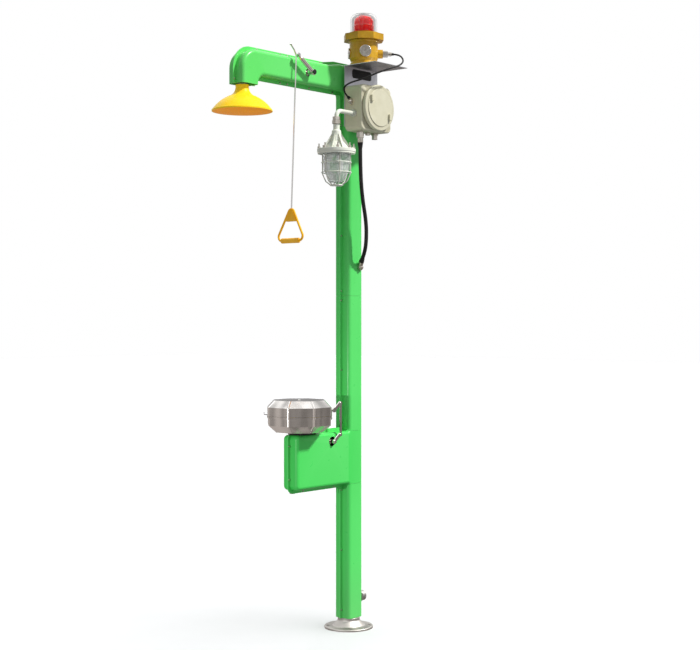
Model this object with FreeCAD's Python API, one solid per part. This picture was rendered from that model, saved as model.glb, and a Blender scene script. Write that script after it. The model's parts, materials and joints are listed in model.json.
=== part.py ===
import FreeCAD, Part
import math
import os

# Heat-traced combination emergency shower and eyewash station, as an assembly.
# Frame: millimetres, +Z up, origin on the column axis at floor level. The shower arm and
# the eyewash bowl point to the front, which is -Y, and the junction box is on the side, +X.

os.makedirs("parts", exist_ok=True)
V = FreeCAD.Vector

# ---------------------------------------------------------------- driving dimensions
# Insulated casing: moulded left and right shells, joined along the middle by a fin
COLUMN_WIDTH = 82.0
COLUMN_DEPTH = 88.0
CASING_WALL = 3.0
CASING_ROUND = 15.0
FOAM_ROUND = 12.6
CASING_BOTTOM = 45.0
FIN_HEIGHT = 14.0
FIN_THICKNESS = 5.0
SEAM_GAP = 0.6
COLUMN_TOP = 2346.0
ARM_BOTTOM = 2237.0
ARM_TOP = 2335.0
ELBOW_BOTTOM = 2199.0
ELBOW_FRONT = 676.0
ELBOW_REAR = 584.0
ARM_SEAM_REAR = 165.0
ARM_SEAM_FRONT = 406.0
HOUSING_BOTTOM = 607.0
HOUSING_TOP = 828.0
HOUSING_FRONT = 366.0
MID_SEAM = 1390.0

# Water pipes: 1 1/4 inch riser and arm, 3/4 inch branch to the eyewash
PIPE_RADIUS = 21.2
PIPE_BORE = 18.0
BRANCH_RADIUS = 13.45
BRANCH_BORE = 10.8
SOCKET_DEPTH = 18.0
SOCKET_CLEARANCE = 0.1
FITTING_REACH = 42.0
INLET_HEIGHT = 120.0
BRANCH_HEIGHT = 792.0
ARM_AXIS = 2283.0
SHOWER_AHEAD = 638.0

# Floor flange
FLANGE_RADIUS = 102.0
FLANGE_THICKNESS = 9.0
FLANGE_NECK_RADIUS = 46.0
FLOOR_BOLT_CIRCLE = 172.0
FLOOR_BOLT_RADIUS = 7.0

# Shower valve, lever and pull rod
VALVE_AHEAD = 302.0
VALVE_HALF_LENGTH = 55.0
LEVER_SIDE = 66.0
LEVER_LENGTH = 104.0
LEVER_ANGLE = 33.0
PULL_SIDE = 55.0
PULL_LEAN = 2.6
PULL_BOTTOM = 1592.0
HANDLE_HEIGHT = 136.0
ROD_SEAT_DEPTH = 22.0
PIVOT_PIN_RADIUS = 3.0
RUNNING_CLEARANCE = 0.06
OPEN_PIVOT_CLEARANCE = 0.35

# Shower head
HEAD_NECK_RADIUS = 26.0
HEAD_RIM_RADIUS = 117.5
HEAD_TOP = 2196.0
HEAD_RIM = 2094.0
HEAD_WALL = 3.0

# Eyewash bowl and cover, both eight-sided
BOWL_AHEAD = 310.0
BOWL_FLATS = 250.0
BOWL_RIM_FLATS = 258.0
BOWL_BOTTOM_FLATS = 190.0
BOWL_BOTTOM = 840.0
BOWL_SHOULDER = 868.0
BOWL_RIM = 905.0
COVER_FLATS = 254.0
COVER_TOP_FLATS = 203.0
COVER_BOTTOM = 905.6
COVER_SHOULDER = 941.0
COVER_TOP = 968.0
SHEET = 2.0
HINGE_AHEAD = 153.0
HINGE_HEIGHT = 921.0
HINGE_PIN_RADIUS = 4.0
LINK_BACK = 35.0
LINK_RISE = 27.0
CRANK_SIDE = 49.6
SUPPLY_AHEAD = 285.0
SUPPLY_REACH = 32.0
YOKE_HEIGHT = 868.0
NOZZLE_SIDE = 62.0
DRAIN_SIDE = -24.0
DRAIN_AHEAD = 326.0

# Electrical side: bracket, junction box, beacon and lamp
BRACKET_SIDE = 60.0
BRACKET_SHEET = 2.0
SHELF_TOP = 2338.0
BOX_REAR = 62.3
BOX_FRONT = 150.0
BOX_HALF_WIDTH = 97.0
BOX_BOTTOM = 2068.0
BOX_TOP = 2255.0
BOX_COVER_RADIUS = 95.0
BEACON_SIDE = 118.0
BEACON_AHEAD = 44.0
BEACON_BOSS_LIFT = 48.2
LAMP_SIDE = 110.0
LAMP_AHEAD = 208.0
LAMP_PIPE_HEIGHT = 2136.0
CLAMP_HEIGHTS = (2112.0, 2216.0)

# Free cables: diameter, and the corners of each route as (side, ahead, height)
CONDUIT_DIAMETER = 16.0
CONDUIT_ROUTE = [
    (103.0, 48.0, 2020.0),
    (103.0, 48.0, 1910.0),
    (101.0, 34.0, 1800.0),
    (100.5, 5.0, 1690.0),
    (99.2, 4.9, 1608.0),
    (83.4, -0.9, 1563.0),
    (59.4, -11.7, 1533.0),
]
BEACON_CABLE_DIAMETER = 7.0
BEACON_CABLE_ROUTE = [
    (200.0, -38.0, 2386.2), (222.0, -60.0, 2386.2), (240.0, -69.0, 2362.2),
    (245.0, -42.0, 2337.2), (237.0, 8.0, 2321.0), (205.0, 66.0, 2295.0),
    (165.0, 107.0, 2270.0), (124.0, 142.0, 2255.0), (100.0, 152.0, 2237.0),
    (97.0, 138.2, 2211.0), (97.0, 113.0, 2198.8),
]
CORD_ARC_SHARE = 0.45


# ---------------------------------------------------------------- geometry helpers
def at(side, ahead, height):
    """The point that lies side along +X, ahead along the front and height above the floor."""
    return V(side, -ahead, height)


def save(node, shape):
    """Write one sub-part, after checking that it is a sound solid."""
    if not shape.isValid() or shape.Volume <= 0:
        raise ValueError(node + " is not a valid solid")
    shape.exportStep("parts/" + node + ".step")


def rod(start, end, radius):
    """A round bar between two points."""
    return Part.makeCylinder(radius, (end - start).Length, start, end - start)


def tube(start, end, outer, inner):
    """A round tube between two points."""
    return rod(start, end, outer).cut(rod(start, end, inner))


def taper(start, end, start_radius, end_radius):
    """A cone or a tapered bar between two points."""
    return Part.makeCone(start_radius, end_radius, (end - start).Length, start, end - start)


def block(low, high):
    """A box between two opposite corners."""
    size = V(abs(high.x - low.x), abs(high.y - low.y), abs(high.z - low.z))
    corner = V(min(low.x, high.x), min(low.y, high.y), min(low.z, high.z))
    return Part.makeBox(size.x, size.y, size.z, corner)


def fuse(shapes):
    """Join touching or overlapping shapes into one solid."""
    joined = shapes[0]
    if len(shapes) > 1:
        joined = joined.multiFuse(shapes[1:])
    return joined.removeSplitter()


def group(shapes):
    """Keep shapes as separate solids that share a node."""
    return Part.makeCompound(shapes)


def rounded_wire(corners, place):
    """A closed outline through (u, v, radius) corners, each rounded by a tangent arc."""
    edges = []
    rounds = []
    count = len(corners)
    for index, (u, v, radius) in enumerate(corners):
        here = V(u, v, 0)
        before = V(corners[index - 1][0], corners[index - 1][1], 0) - here
        after = V(corners[(index + 1) % count][0], corners[(index + 1) % count][1], 0) - here
        before.normalize()
        after.normalize()
        half = before.getAngle(after) / 2
        setback = radius / math.tan(half)
        bisector = (before + after).normalize()
        middle = here + bisector * (radius / math.sin(half) - radius)
        rounds.append((here + before * setback, middle, here + after * setback))
    for index, (enter, middle, leave) in enumerate(rounds):
        if (leave - enter).Length > 1e-6:
            points = [place(point.x, point.y) for point in (enter, middle, leave)]
            edges.append(Part.Arc(*points).toShape())
        following = rounds[(index + 1) % count][0]
        if (following - leave).Length > 1e-6:
            edges.append(Part.makeLine(place(leave.x, leave.y), place(following.x, following.y)))
    return Part.Wire(edges)


def polygon_corners(flats, sides, radius=0.0, centre_u=0.0, centre_v=0.0):
    """Corners of a regular polygon whose flats face the axes, given its size across flats."""
    reach = flats / 2 / math.cos(math.pi / sides)
    turn = 2 * math.pi / sides
    angles = [turn * (index + 0.5) for index in range(sides)]
    return [(centre_u + reach * math.cos(a), centre_v + reach * math.sin(a), radius) for a in angles]


def nut(start, end, flats, bore=0.0):
    """A hexagon bar between two points, with an optional bore."""
    axis = (end - start).normalize()
    reference = V(0, 0, 1) if abs(axis.z) < 0.9 else V(1, 0, 0)
    across = axis.cross(reference).normalize()
    upward = axis.cross(across)
    wire = rounded_wire(polygon_corners(flats, 6), lambda u, v: start + across * u + upward * v)
    bar = Part.Face(wire).extrude(end - start)
    return bar.cut(rod(start, end, bore)) if bore else bar


def revolve(corners, centre):
    """A solid of revolution about the vertical through centre, from (radius, height, round)."""
    wire = rounded_wire(corners, lambda u, v: centre + V(u, 0, v))
    return Part.Face(wire).revolve(centre, V(0, 0, 1), 360)


def socket_fitting(centre, directions, reach, pipe_radius, bore):
    """A pipe fitting: one socketed arm per direction, with a raised bead at each mouth."""
    outer = pipe_radius + 5.5
    bodies = [Part.makeSphere(outer, centre)]
    voids = [Part.makeSphere(bore, centre)]
    for direction in directions:
        mouth = centre + direction * reach
        bodies.append(rod(centre, mouth, outer))
        bodies.append(rod(mouth - direction * 12, mouth, outer + 2.5))
        voids.append(rod(centre, mouth, bore))
        voids.append(rod(mouth - direction * SOCKET_DEPTH, mouth, pipe_radius + SOCKET_CLEARANCE))
    return fuse(bodies).cut(fuse(voids))


def ball_valve(centre, half_length, body_radius, pipe_radius, bore, ball_radius, stem_radius, neck):
    """A ball valve along the Y axis, with its stem towards +X: body, ball with stem, seats."""
    axis = V(0, 1, 0)
    start = centre - axis * half_length
    end = centre + axis * half_length
    body = rod(centre - axis * (half_length * 0.55), centre + axis * (half_length * 0.55), body_radius)
    stem_neck = rod(centre, centre + V(neck, 0, 0), stem_radius + 5)
    body = fuse([body, rod(start, end, pipe_radius + 5.5), stem_neck])
    cavity = ball_radius + 3
    body = body.cut(rod(start, end, bore))
    body = body.cut(rod(centre - axis * cavity, centre + axis * cavity, ball_radius + 0.4))
    body = body.cut(rod(centre, centre + V(neck + 1, 0, 0), stem_radius + RUNNING_CLEARANCE))
    for mouth, inward in ((start, axis), (end, axis * -1)):
        body = body.cut(rod(mouth, mouth + inward * SOCKET_DEPTH, pipe_radius + SOCKET_CLEARANCE))
    ball = Part.makeSphere(ball_radius, centre).cut(rod(start, end, bore))
    seats = []
    for side in (-1, 1):
        face = centre + axis * (side * cavity)
        seat = rod(face, centre + axis * (side * (bore + 0.5)), ball_radius + 0.2)
        seat = seat.cut(rod(start, end, bore)).cut(Part.makeSphere(ball_radius + 0.1, centre))
        seats.append(seat)
    return body, ball, group(seats)


# ---------------------------------------------------------------- casing shells
def casing_profile():
    """Side view of the whole casing: column, arm, drop elbow and eyewash housing."""
    back = -COLUMN_DEPTH / 2
    face = COLUMN_DEPTH / 2
    corners = [
        (back, 0.0, 0.0),
        (back, COLUMN_TOP, 18.0),
        (100.0, COLUMN_TOP, 60.0),
        (ARM_SEAM_REAR, ARM_TOP, 60.0),
        (ELBOW_FRONT, ARM_TOP, 78.0),
        (ELBOW_FRONT, 2150.0, 0.0),
        (ELBOW_REAR, 2150.0, 0.0),
        (ELBOW_REAR, ARM_BOTTOM, 34.0),
        (face, ARM_BOTTOM, 20.0),
        (face, HOUSING_TOP, 6.0),
        (HOUSING_FRONT, HOUSING_TOP, 18.0),
        (HOUSING_FRONT, HOUSING_BOTTOM, 18.0),
        (face, HOUSING_BOTTOM, 6.0),
        (face, 0.0, 0.0),
    ]
    return Part.Face(rounded_wire(corners, lambda ahead, height: at(0, ahead, height)))


def rounded_half(profile, width, round_radius):
    """The profile made solid on its +X side, with its side edges rounded."""
    solid = profile.extrude(V(width, 0, 0))
    side_edges = [edge for edge in solid.Edges if edge.BoundBox.XMin > width - 0.01]
    return solid.makeFillet(round_radius, side_edges)


def casing_half():
    """The whole +X half of the casing, as one open shell with its fin."""
    profile = casing_profile()
    half_width = COLUMN_WIDTH / 2
    outer = rounded_half(profile, half_width, CASING_ROUND)
    inner_profile = profile.makeOffset2D(-CASING_WALL)
    inner = rounded_half(inner_profile, half_width - CASING_WALL, CASING_ROUND - CASING_WALL)
    fin_profile = profile.makeOffset2D(FIN_HEIGHT).cut(profile)
    fin = fin_profile.extrude(V(FIN_THICKNESS / 2, 0, 0))
    under_bowl = block(at(-1, 190, HOUSING_TOP), at(FIN_THICKNESS, HOUSING_FRONT + 27, HOUSING_TOP + 30))
    return outer.fuse(fin.cut(under_bowl)).cut(inner)


def fin_screw_places():
    """Places of the screws along the fin, as (ahead, height)."""
    back = -COLUMN_DEPTH / 2 - FIN_HEIGHT / 2
    face = COLUMN_DEPTH / 2 + FIN_HEIGHT / 2
    over = ARM_TOP + FIN_HEIGHT / 2
    under = ARM_BOTTOM - FIN_HEIGHT / 2
    heights = (210, 400, 585, 720, 850, 1080, 1370, 1410, 1640, 1870, 2100, 2310)
    places = [(back, height) for height in heights]
    places += [(face, height) for height in (80, 330, 580, 860, 1080, 1370, 1410, 1640, 1870, 2100)]
    places += [(ahead, over) for ahead in (190, 385, 427, 560)]
    places += [(ahead, under) for ahead in (110, 255, 385, 427)]
    places += [(HOUSING_FRONT + FIN_HEIGHT / 2, height) for height in (650, 785)]
    places += [(ahead, HOUSING_BOTTOM - FIN_HEIGHT / 2) for ahead in (100, 290)]
    places += [(ELBOW_FRONT + FIN_HEIGHT / 2, 2215.0)]
    return places


def casing_openings():
    """Holes through the casing, for the things that pass through its walls."""
    holes = []
    for ahead, height in fin_screw_places():
        holes.append(rod(at(-60, ahead, height), at(60, ahead, height), 2.2))
    holes.append(rod(at(20, VALVE_AHEAD, ARM_AXIS), at(60, VALVE_AHEAD, ARM_AXIS), 15.0))
    holes.append(rod(at(20, HINGE_AHEAD, BRANCH_HEIGHT), at(60, HINGE_AHEAD, BRANCH_HEIGHT), 20.0))
    holes.append(rod(at(0, -20, INLET_HEIGHT), at(0, -90, INLET_HEIGHT), PIPE_RADIUS + 0.4))
    holes.append(rod(at(0, SUPPLY_AHEAD, 780), at(0, SUPPLY_AHEAD, 860), BRANCH_RADIUS + 0.4))
    holes.append(rod(at(DRAIN_SIDE, DRAIN_AHEAD, 580), at(DRAIN_SIDE, DRAIN_AHEAD, 860), 11.4))
    holes.append(rod(conduit_gland_base(20), conduit_gland_base(60), 8.4))
    for height in CLAMP_HEIGHTS:
        holes.append(block(at(30, 7, height - 7), at(60, -7, height + 7)))
    return group(holes)


def casing_regions():
    """The part of the side view that each pair of shells covers, as boxes (ahead, height)."""
    rear = -COLUMN_DEPTH / 2 - FIN_HEIGHT - 1
    face = COLUMN_DEPTH / 2
    fin_face = face + FIN_HEIGHT + 1
    return {
        "lower": [
            (rear, CASING_BOTTOM, face, HOUSING_BOTTOM),
            (face, CASING_BOTTOM, fin_face, HOUSING_BOTTOM - FIN_HEIGHT),
        ],
        "tee": [
            (rear, HOUSING_BOTTOM, face, HOUSING_TOP),
            (face, HOUSING_BOTTOM - FIN_HEIGHT, HOUSING_FRONT + 20, HOUSING_TOP + FIN_HEIGHT),
        ],
        "middle": [
            (rear, HOUSING_TOP, face, MID_SEAM),
            (face, HOUSING_TOP + FIN_HEIGHT, fin_face, MID_SEAM),
        ],
        "upper": [(rear, MID_SEAM, ARM_SEAM_REAR, COLUMN_TOP + 20)],
        "arm": [(ARM_SEAM_REAR, ARM_BOTTOM - 20, ARM_SEAM_FRONT, COLUMN_TOP + 20)],
        "elbow": [(ARM_SEAM_FRONT, ELBOW_BOTTOM, ELBOW_FRONT + 20, COLUMN_TOP + 20)],
    }


def casing_shells():
    """Left and right shell of each stretch, with a hairline gap at every joint."""
    whole = casing_half()
    mirrored = whole.mirror(V(0, 0, 0), V(1, 0, 0))
    holes = casing_openings()
    half_gap = SEAM_GAP / 2
    for name, boxes in casing_regions().items():
        side_gap = half_gap if len(boxes) == 1 else 0.0
        pair = []
        for shell, near, far in ((whole, 0.05, 60.0), (mirrored, -60.0, -0.05)):
            region = []
            for low_a, low_h, high_a, high_h in boxes:
                corner = at(near, low_a + side_gap, low_h + half_gap)
                region.append(block(corner, at(far, high_a - side_gap, high_h - half_gap)))
            pair.append(shell.common(fuse(region)).cut(holes))
        save(name + "_covers", group(pair))


def cover_screws():
    """Pan-head screws and nuts that clamp the fins together."""
    half = FIN_THICKNESS / 2
    screws = []
    for ahead, height in fin_screw_places():
        shank = rod(at(-half - 4.5, ahead, height), at(half, ahead, height), 2.0)
        head = rod(at(half, ahead, height), at(half + 2.6, ahead, height), 4.0)
        head = head.makeFillet(1.2, [edge for edge in head.Edges if edge.BoundBox.XMin > half + 2])
        fixing = nut(at(-half - 3.2, ahead, height), at(-half, ahead, height), 7.0)
        screws.append(fuse([shank, head, fixing]))
    save("cover_screws", group(screws))


# ---------------------------------------------------------------- base and water pipes
def floor_flange():
    """Pressed floor flange: flat rim with four bolt holes, rising cone, neck round the riser."""
    body = revolve(
        [
            (PIPE_RADIUS + SOCKET_CLEARANCE, 0.0, 0.0),
            (FLANGE_RADIUS, 0.0, 0.0),
            (FLANGE_RADIUS, FLANGE_THICKNESS, 4.0),
            (66.0, FLANGE_THICKNESS, 10.0),
            (FLANGE_NECK_RADIUS, 33.0, 8.0),
            (FLANGE_NECK_RADIUS, CASING_BOTTOM - 0.4, 2.0),
            (PIPE_RADIUS + SOCKET_CLEARANCE, CASING_BOTTOM - 0.4, 0.0),
        ],
        V(0, 0, 0),
    )
    for turn in range(4):
        angle = math.radians(45 + 90 * turn)
        place = V(math.cos(angle), math.sin(angle), 0) * (FLOOR_BOLT_CIRCLE / 2)
        body = body.cut(rod(place - V(0, 0, 1), place + V(0, 0, 40), FLOOR_BOLT_RADIUS))
    save("floor_flange", body)


def branch_tee():
    """Riser tee whose front arm takes the smaller branch pipe."""
    centre = at(0, 0, BRANCH_HEIGHT)
    up, front = V(0, 0, 1), at(0, 1, 0)
    tee = socket_fitting(centre, [up, up * -1], FITTING_REACH, PIPE_RADIUS, PIPE_BORE)
    tee = tee.fuse(rod(centre, centre + front * 52, BRANCH_RADIUS + 5.5))
    tee = tee.cut(rod(centre - up * 30, centre + up * 30, PIPE_BORE))
    tee = tee.cut(rod(centre, centre + front * 60, BRANCH_BORE))
    return tee.cut(rod(centre + front * 34, centre + front * 60, BRANCH_RADIUS + SOCKET_CLEARANCE))


def pipe_fittings():
    """Inlet tee, branch tee, the elbows at both ends of the arm and the supply elbow."""
    up, down, front, back = V(0, 0, 1), V(0, 0, -1), at(0, 1, 0), at(0, -1, 0)
    drop = at(0, SHOWER_AHEAD, ARM_AXIS)
    supply = at(0, SUPPLY_AHEAD, BRANCH_HEIGHT)
    save("pipe_fittings", group([
        socket_fitting(at(0, 0, INLET_HEIGHT), [up, down, back], FITTING_REACH - 2, PIPE_RADIUS, PIPE_BORE),
        branch_tee(),
        socket_fitting(at(0, 0, ARM_AXIS), [down, front], FITTING_REACH, PIPE_RADIUS, PIPE_BORE),
        socket_fitting(drop, [back, down], FITTING_REACH, PIPE_RADIUS, PIPE_BORE),
        socket_fitting(supply, [back, up], SUPPLY_REACH, BRANCH_RADIUS, BRANCH_BORE),
    ]))


def riser_pipes():
    """Lower, middle and upper lengths of the riser, each seated in its sockets."""
    up = V(0, 0, 1)
    inset = FITTING_REACH - SOCKET_DEPTH
    low, branch, top = at(0, 0, INLET_HEIGHT), at(0, 0, BRANCH_HEIGHT), at(0, 0, ARM_AXIS)
    save("riser_pipes", group([
        tube(at(0, 0, 4), low - up * inset, PIPE_RADIUS, PIPE_BORE),
        tube(low + up * inset, branch - up * inset, PIPE_RADIUS, PIPE_BORE),
        tube(branch + up * inset, top - up * inset, PIPE_RADIUS, PIPE_BORE),
    ]))


def inlet():
    """Water inlet at the rear: nipple with a hexagon, closed by a narrow threaded plug."""
    height = INLET_HEIGHT
    nipple = tube(at(0, -22.2, height), at(0, -92, height), PIPE_RADIUS, PIPE_BORE)
    hexagon = nut(at(0, -59, height), at(0, -65, height), 50.0, PIPE_RADIUS - 1)
    save("inlet_nipple", nipple.fuse(hexagon))
    plug = fuse([
        rod(at(0, -78, height), at(0, -92.2, height), PIPE_BORE - SOCKET_CLEARANCE),
        rod(at(0, -92.2, height), at(0, -95, height), 19.0),
        nut(at(0, -95, height), at(0, -102, height), 22.0),
    ])
    save("inlet_plug", plug)


def arm_pipes():
    """Arm pipes either side of the shower valve, and the pipe down into the head."""
    inset = FITTING_REACH - SOCKET_DEPTH
    valve_reach = VALVE_HALF_LENGTH - SOCKET_DEPTH
    rear_end = at(0, VALVE_AHEAD - valve_reach, ARM_AXIS)
    front_start = at(0, VALVE_AHEAD + valve_reach, ARM_AXIS)
    drop_top = at(0, SHOWER_AHEAD, ARM_AXIS - inset)
    save("arm_pipes", group([
        tube(at(0, inset, ARM_AXIS), rear_end, PIPE_RADIUS, PIPE_BORE),
        tube(front_start, at(0, SHOWER_AHEAD - inset, ARM_AXIS), PIPE_RADIUS, PIPE_BORE),
        tube(drop_top, at(0, SHOWER_AHEAD, HEAD_TOP - 30), PIPE_RADIUS, PIPE_BORE),
    ]))


def insulation():
    """Foam blocks that fill the column round the riser, below and above the housing."""
    half_x = COLUMN_WIDTH / 2 - CASING_WALL - 0.6
    half_y = COLUMN_DEPTH / 2 - CASING_WALL - 0.6
    corner = FOAM_ROUND
    corners = [(-half_x, -half_y, corner), (half_x, -half_y, corner)]
    corners += [(half_x, half_y, corner), (-half_x, half_y, corner)]
    blocks = []
    for low, high in ((172.0, 596.0), (862.0, 1480.0)):
        face = Part.Face(rounded_wire(corners, lambda u, v: V(u, v, low)))
        foam = face.extrude(V(0, 0, high - low))
        blocks.append(foam.cut(rod(V(0, 0, low - 1), V(0, 0, high + 1), 35.0)))
    save("insulation", group(blocks))


def heat_trace_cable():
    """Flat heating cable that lies along the riser and steps over its fittings."""
    close = -PIPE_RADIUS - 0.4
    clear = -PIPE_RADIUS - 8.6
    thick = 4.0
    inner = [(close, 190), (close, 735), (clear, 745), (clear, 840), (close, 850), (close, 2236)]
    outer = [(x - thick, z) for x, z in reversed(inner)]
    corners = [(x, z, 0.0) for x, z in inner + outer]
    face = Part.Face(rounded_wire(corners, lambda u, v: V(u, -5, v)))
    save("heat_trace_cable", face.extrude(V(0, 10, 0)))


# ---------------------------------------------------------------- overhead shower
def bell_outline(inset):
    """Half outline of the shower head's bell, moved inwards by inset."""
    return [
        V(HEAD_NECK_RADIUS - inset, 0, HEAD_TOP),
        V(HEAD_NECK_RADIUS - inset, 0, HEAD_TOP - 12),
        V(33 - inset, 0, 2166 - inset / 2),
        V(55 - inset * 0.7, 0, 2151 - inset),
        V(88 - inset * 0.4, 0, 2130 - inset),
        V(HEAD_RIM_RADIUS - 4.5 - inset, 0, 2104 - inset),
        V(HEAD_RIM_RADIUS - inset, 0, 2099),
        V(HEAD_RIM_RADIUS - inset, 0, HEAD_RIM),
    ]


def bell_edges(points):
    """Neck, two flowing arcs and rim of the bell."""
    return [
        Part.makeLine(points[0], points[1]),
        Part.Arc(points[1], points[2], points[3]).toShape(),
        Part.Arc(points[3], points[4], points[5]).toShape(),
        Part.makeLine(points[5], points[6]),
        Part.makeLine(points[6], points[7]),
    ]


def shower_head():
    """Bell-shaped shower head with its perforated face plate."""
    outer = bell_outline(0.0)
    inner = bell_outline(HEAD_WALL)
    inner[0] = V(PIPE_RADIUS + SOCKET_CLEARANCE, 0, HEAD_TOP)
    inner[1] = V(PIPE_RADIUS + SOCKET_CLEARANCE, 0, HEAD_TOP - 12 - HEAD_WALL)
    edges = bell_edges(outer) + [Part.makeLine(outer[-1], inner[-1])] + bell_edges(inner)
    edges.append(Part.makeLine(inner[0], outer[0]))
    bell = Part.Face(Part.Wire(Part.__sortEdges__(edges))).revolve(V(0, 0, 0), V(0, 0, 1), 360)
    bell.translate(at(0, SHOWER_AHEAD, 0))
    save("shower_head", bell)


def shower_face():
    """Slightly domed face plate with rings of spray holes."""
    radius = HEAD_RIM_RADIUS - HEAD_WALL - 0.3
    low = HEAD_RIM - 8
    edges = []
    for lift in (0.0, 2.5):
        centre, middle = V(0, 0, low + lift), V(radius / 2, 0, low + 2.0 + lift)
        edges.append(Part.Arc(centre, middle, V(radius, 0, low + 8 + lift)).toShape())
    edges.append(Part.makeLine(V(0, 0, low), V(0, 0, low + 2.5)))
    edges.append(Part.makeLine(V(radius, 0, low + 8), V(radius, 0, low + 10.5)))
    plate = Part.Face(Part.Wire(Part.__sortEdges__(edges))).revolve(V(0, 0, 0), V(0, 0, 1), 360)
    for ring in range(1, 6):
        for step in range(8 * ring):
            angle = 2 * math.pi * step / (8 * ring)
            place = V(math.cos(angle), math.sin(angle), 0) * (19.0 * ring)
            plate = plate.cut(rod(place + V(0, 0, low - 5), place + V(0, 0, low + 20), 2.0))
    plate.translate(at(0, SHOWER_AHEAD, 0))
    save("shower_face", plate)


def shower_valve():
    """Shower ball valve with its stem and lever."""
    centre = at(0, VALVE_AHEAD, ARM_AXIS)
    body, ball, seats = ball_valve(centre, VALVE_HALF_LENGTH, 31.0, PIPE_RADIUS, 16.0, 24.0, 6.0, 36.0)
    save("shower_valve_body", body)
    ball = fuse([ball, rod(centre + V(22, 0, 0), centre + V(LEVER_SIDE - 4, 0, 0), 6.0)])
    save("shower_valve_ball", ball)
    save("shower_lever", shower_lever(centre))
    tip = lever_tip(centre)
    pull_rod(tip)
    pull_handle(tip)
    return seats


def lever_direction():
    """The way the shower lever points from its stem, ahead and upwards."""
    angle = math.radians(LEVER_ANGLE)
    return at(0, math.cos(angle), math.sin(angle))


def lever_tip(centre):
    """The pull-rod pivot at the upper end of the shower lever."""
    return V(LEVER_SIDE, centre.y, centre.z) + lever_direction() * LEVER_LENGTH


def shower_lever(centre):
    """Lever: open tube on the stem, drawn down to a rod with a flat eye at its tip."""
    hub = V(LEVER_SIDE, centre.y, centre.z)
    along = lever_direction()
    tip = lever_tip(centre)
    arm = rod(hub - along * 12, hub + along * 84, 8.5)
    arm = arm.cut(rod(hub + along * 12, hub + along * 78, 6.5))
    hub_boss = rod(hub - V(4, 0, 0), hub + V(9.5, 0, 0), 10.5)
    collar = rod(hub - V(18, 0, 0), hub - V(3.9, 0, 0), 11.0)
    neck = taper(hub + along * 84, hub + along * 92, 8.5, 5.0)
    bar = rod(hub + along * 84, tip - along * 4, 5.0)
    eye = rod(tip - V(4, 0, 0), tip + V(4, 0, 0), 8.0)
    lever = fuse([arm, hub_boss, collar, neck, bar, eye])
    pin_hole = rod(tip - V(12, 0, 0), tip + V(12, 0, 0), PIVOT_PIN_RADIUS + RUNNING_CLEARANCE)
    stem_hole = rod(centre + V(40, 0, 0), centre + V(LEVER_SIDE - 3.98, 0, 0), 6.02)
    return lever.cut(pin_hole).cut(stem_hole)


def pull_rod(tip):
    """Pull rod: pin and washer through the lever's eye, leaning shank, hooked tail above."""
    top = V(PULL_SIDE, tip.y, tip.z)
    foot = V(PULL_SIDE, tip.y, PULL_BOTTOM + HANDLE_HEIGHT - ROD_SEAT_DEPTH + 0.1)
    pin = rod(tip + V(8, 0, 0), top, PIVOT_PIN_RADIUS)
    washer = rod(tip + V(5.6, 0, 0), tip + V(8, 0, 0), 6.0)
    shank = rod(foot, top, PIVOT_PIN_RADIUS)
    shank.rotate(tip, V(1, 0, 0), -PULL_LEAN)
    bend = top + at(0, 12, 20)
    tail_end = top + at(0, 32, 39)
    tail = [
        Part.makeSphere(PIVOT_PIN_RADIUS, top),
        rod(top, bend, PIVOT_PIN_RADIUS),
        Part.makeSphere(PIVOT_PIN_RADIUS, bend),
        rod(bend, tail_end, PIVOT_PIN_RADIUS),
        Part.makeSphere(4.6, tail_end),
    ]
    save("pull_rod", fuse([pin, washer, shank] + tail))


def pull_handle(tip):
    """Triangular handle: bent loop, solid top plate and a grip sleeve on the lower bar."""
    def place(u, v):
        return V(PULL_SIDE + u, tip.y, v)

    loop_radius = 4.5
    grip_radius = 10.5
    grip_span = 44.0
    half_width = 75.0
    low = PULL_BOTTOM + grip_radius
    top = PULL_BOTTOM + HANDLE_HEIGHT
    path = rounded_wire([(-half_width, low, 17.0), (half_width, low, 17.0), (0.0, top + 16, 15.0)], place)
    section = Part.makeCircle(loop_radius, path.Vertexes[0].Point, path.Edges[0].tangentAt(0))
    loop = path.makePipeShell([Part.Wire(section)], True, False)
    plate_corners = [(-29.0, low + 76, 4.0), (29.0, low + 76, 4.0)]
    plate_corners += [(8.0, top - 4, 6.0), (-8.0, top - 4, 6.0)]
    plate = Part.Face(rounded_wire(plate_corners, place)).extrude(V(0, 12, 0))
    plate.translate(V(0, -6, 0))
    seat = rod(place(0, top - ROD_SEAT_DEPTH), place(0, top + 60), PIVOT_PIN_RADIUS + 0.02)
    grip = tube(place(-grip_span, low), place(grip_span, low), grip_radius, loop_radius + 0.05)
    for node, shape in (("pull_handle", plate.fuse(loop).cut(seat)), ("handle_grip", grip)):
        shape.rotate(tip, V(1, 0, 0), -PULL_LEAN)
        save(node, shape)


# ---------------------------------------------------------------- eyewash
def octagon(flats, height, radius):
    """Eight-sided outline of the bowl or its cover at one height."""
    corners = polygon_corners(flats, 8, radius, 0.0, -BOWL_AHEAD)
    return rounded_wire(corners, lambda u, v: V(u, v, height))


def octagon_solid(levels):
    """A solid that runs through eight-sided outlines, given as (flats, height, radius)."""
    pieces = []
    for (flats_a, height_a, radius_a), (flats_b, height_b, radius_b) in zip(levels, levels[1:]):
        wires = [octagon(flats_a, height_a, radius_a), octagon(flats_b, height_b, radius_b)]
        pieces.append(Part.makeLoft(wires, True, True))
    return fuse(pieces) if len(pieces) > 1 else pieces[0]


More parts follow.
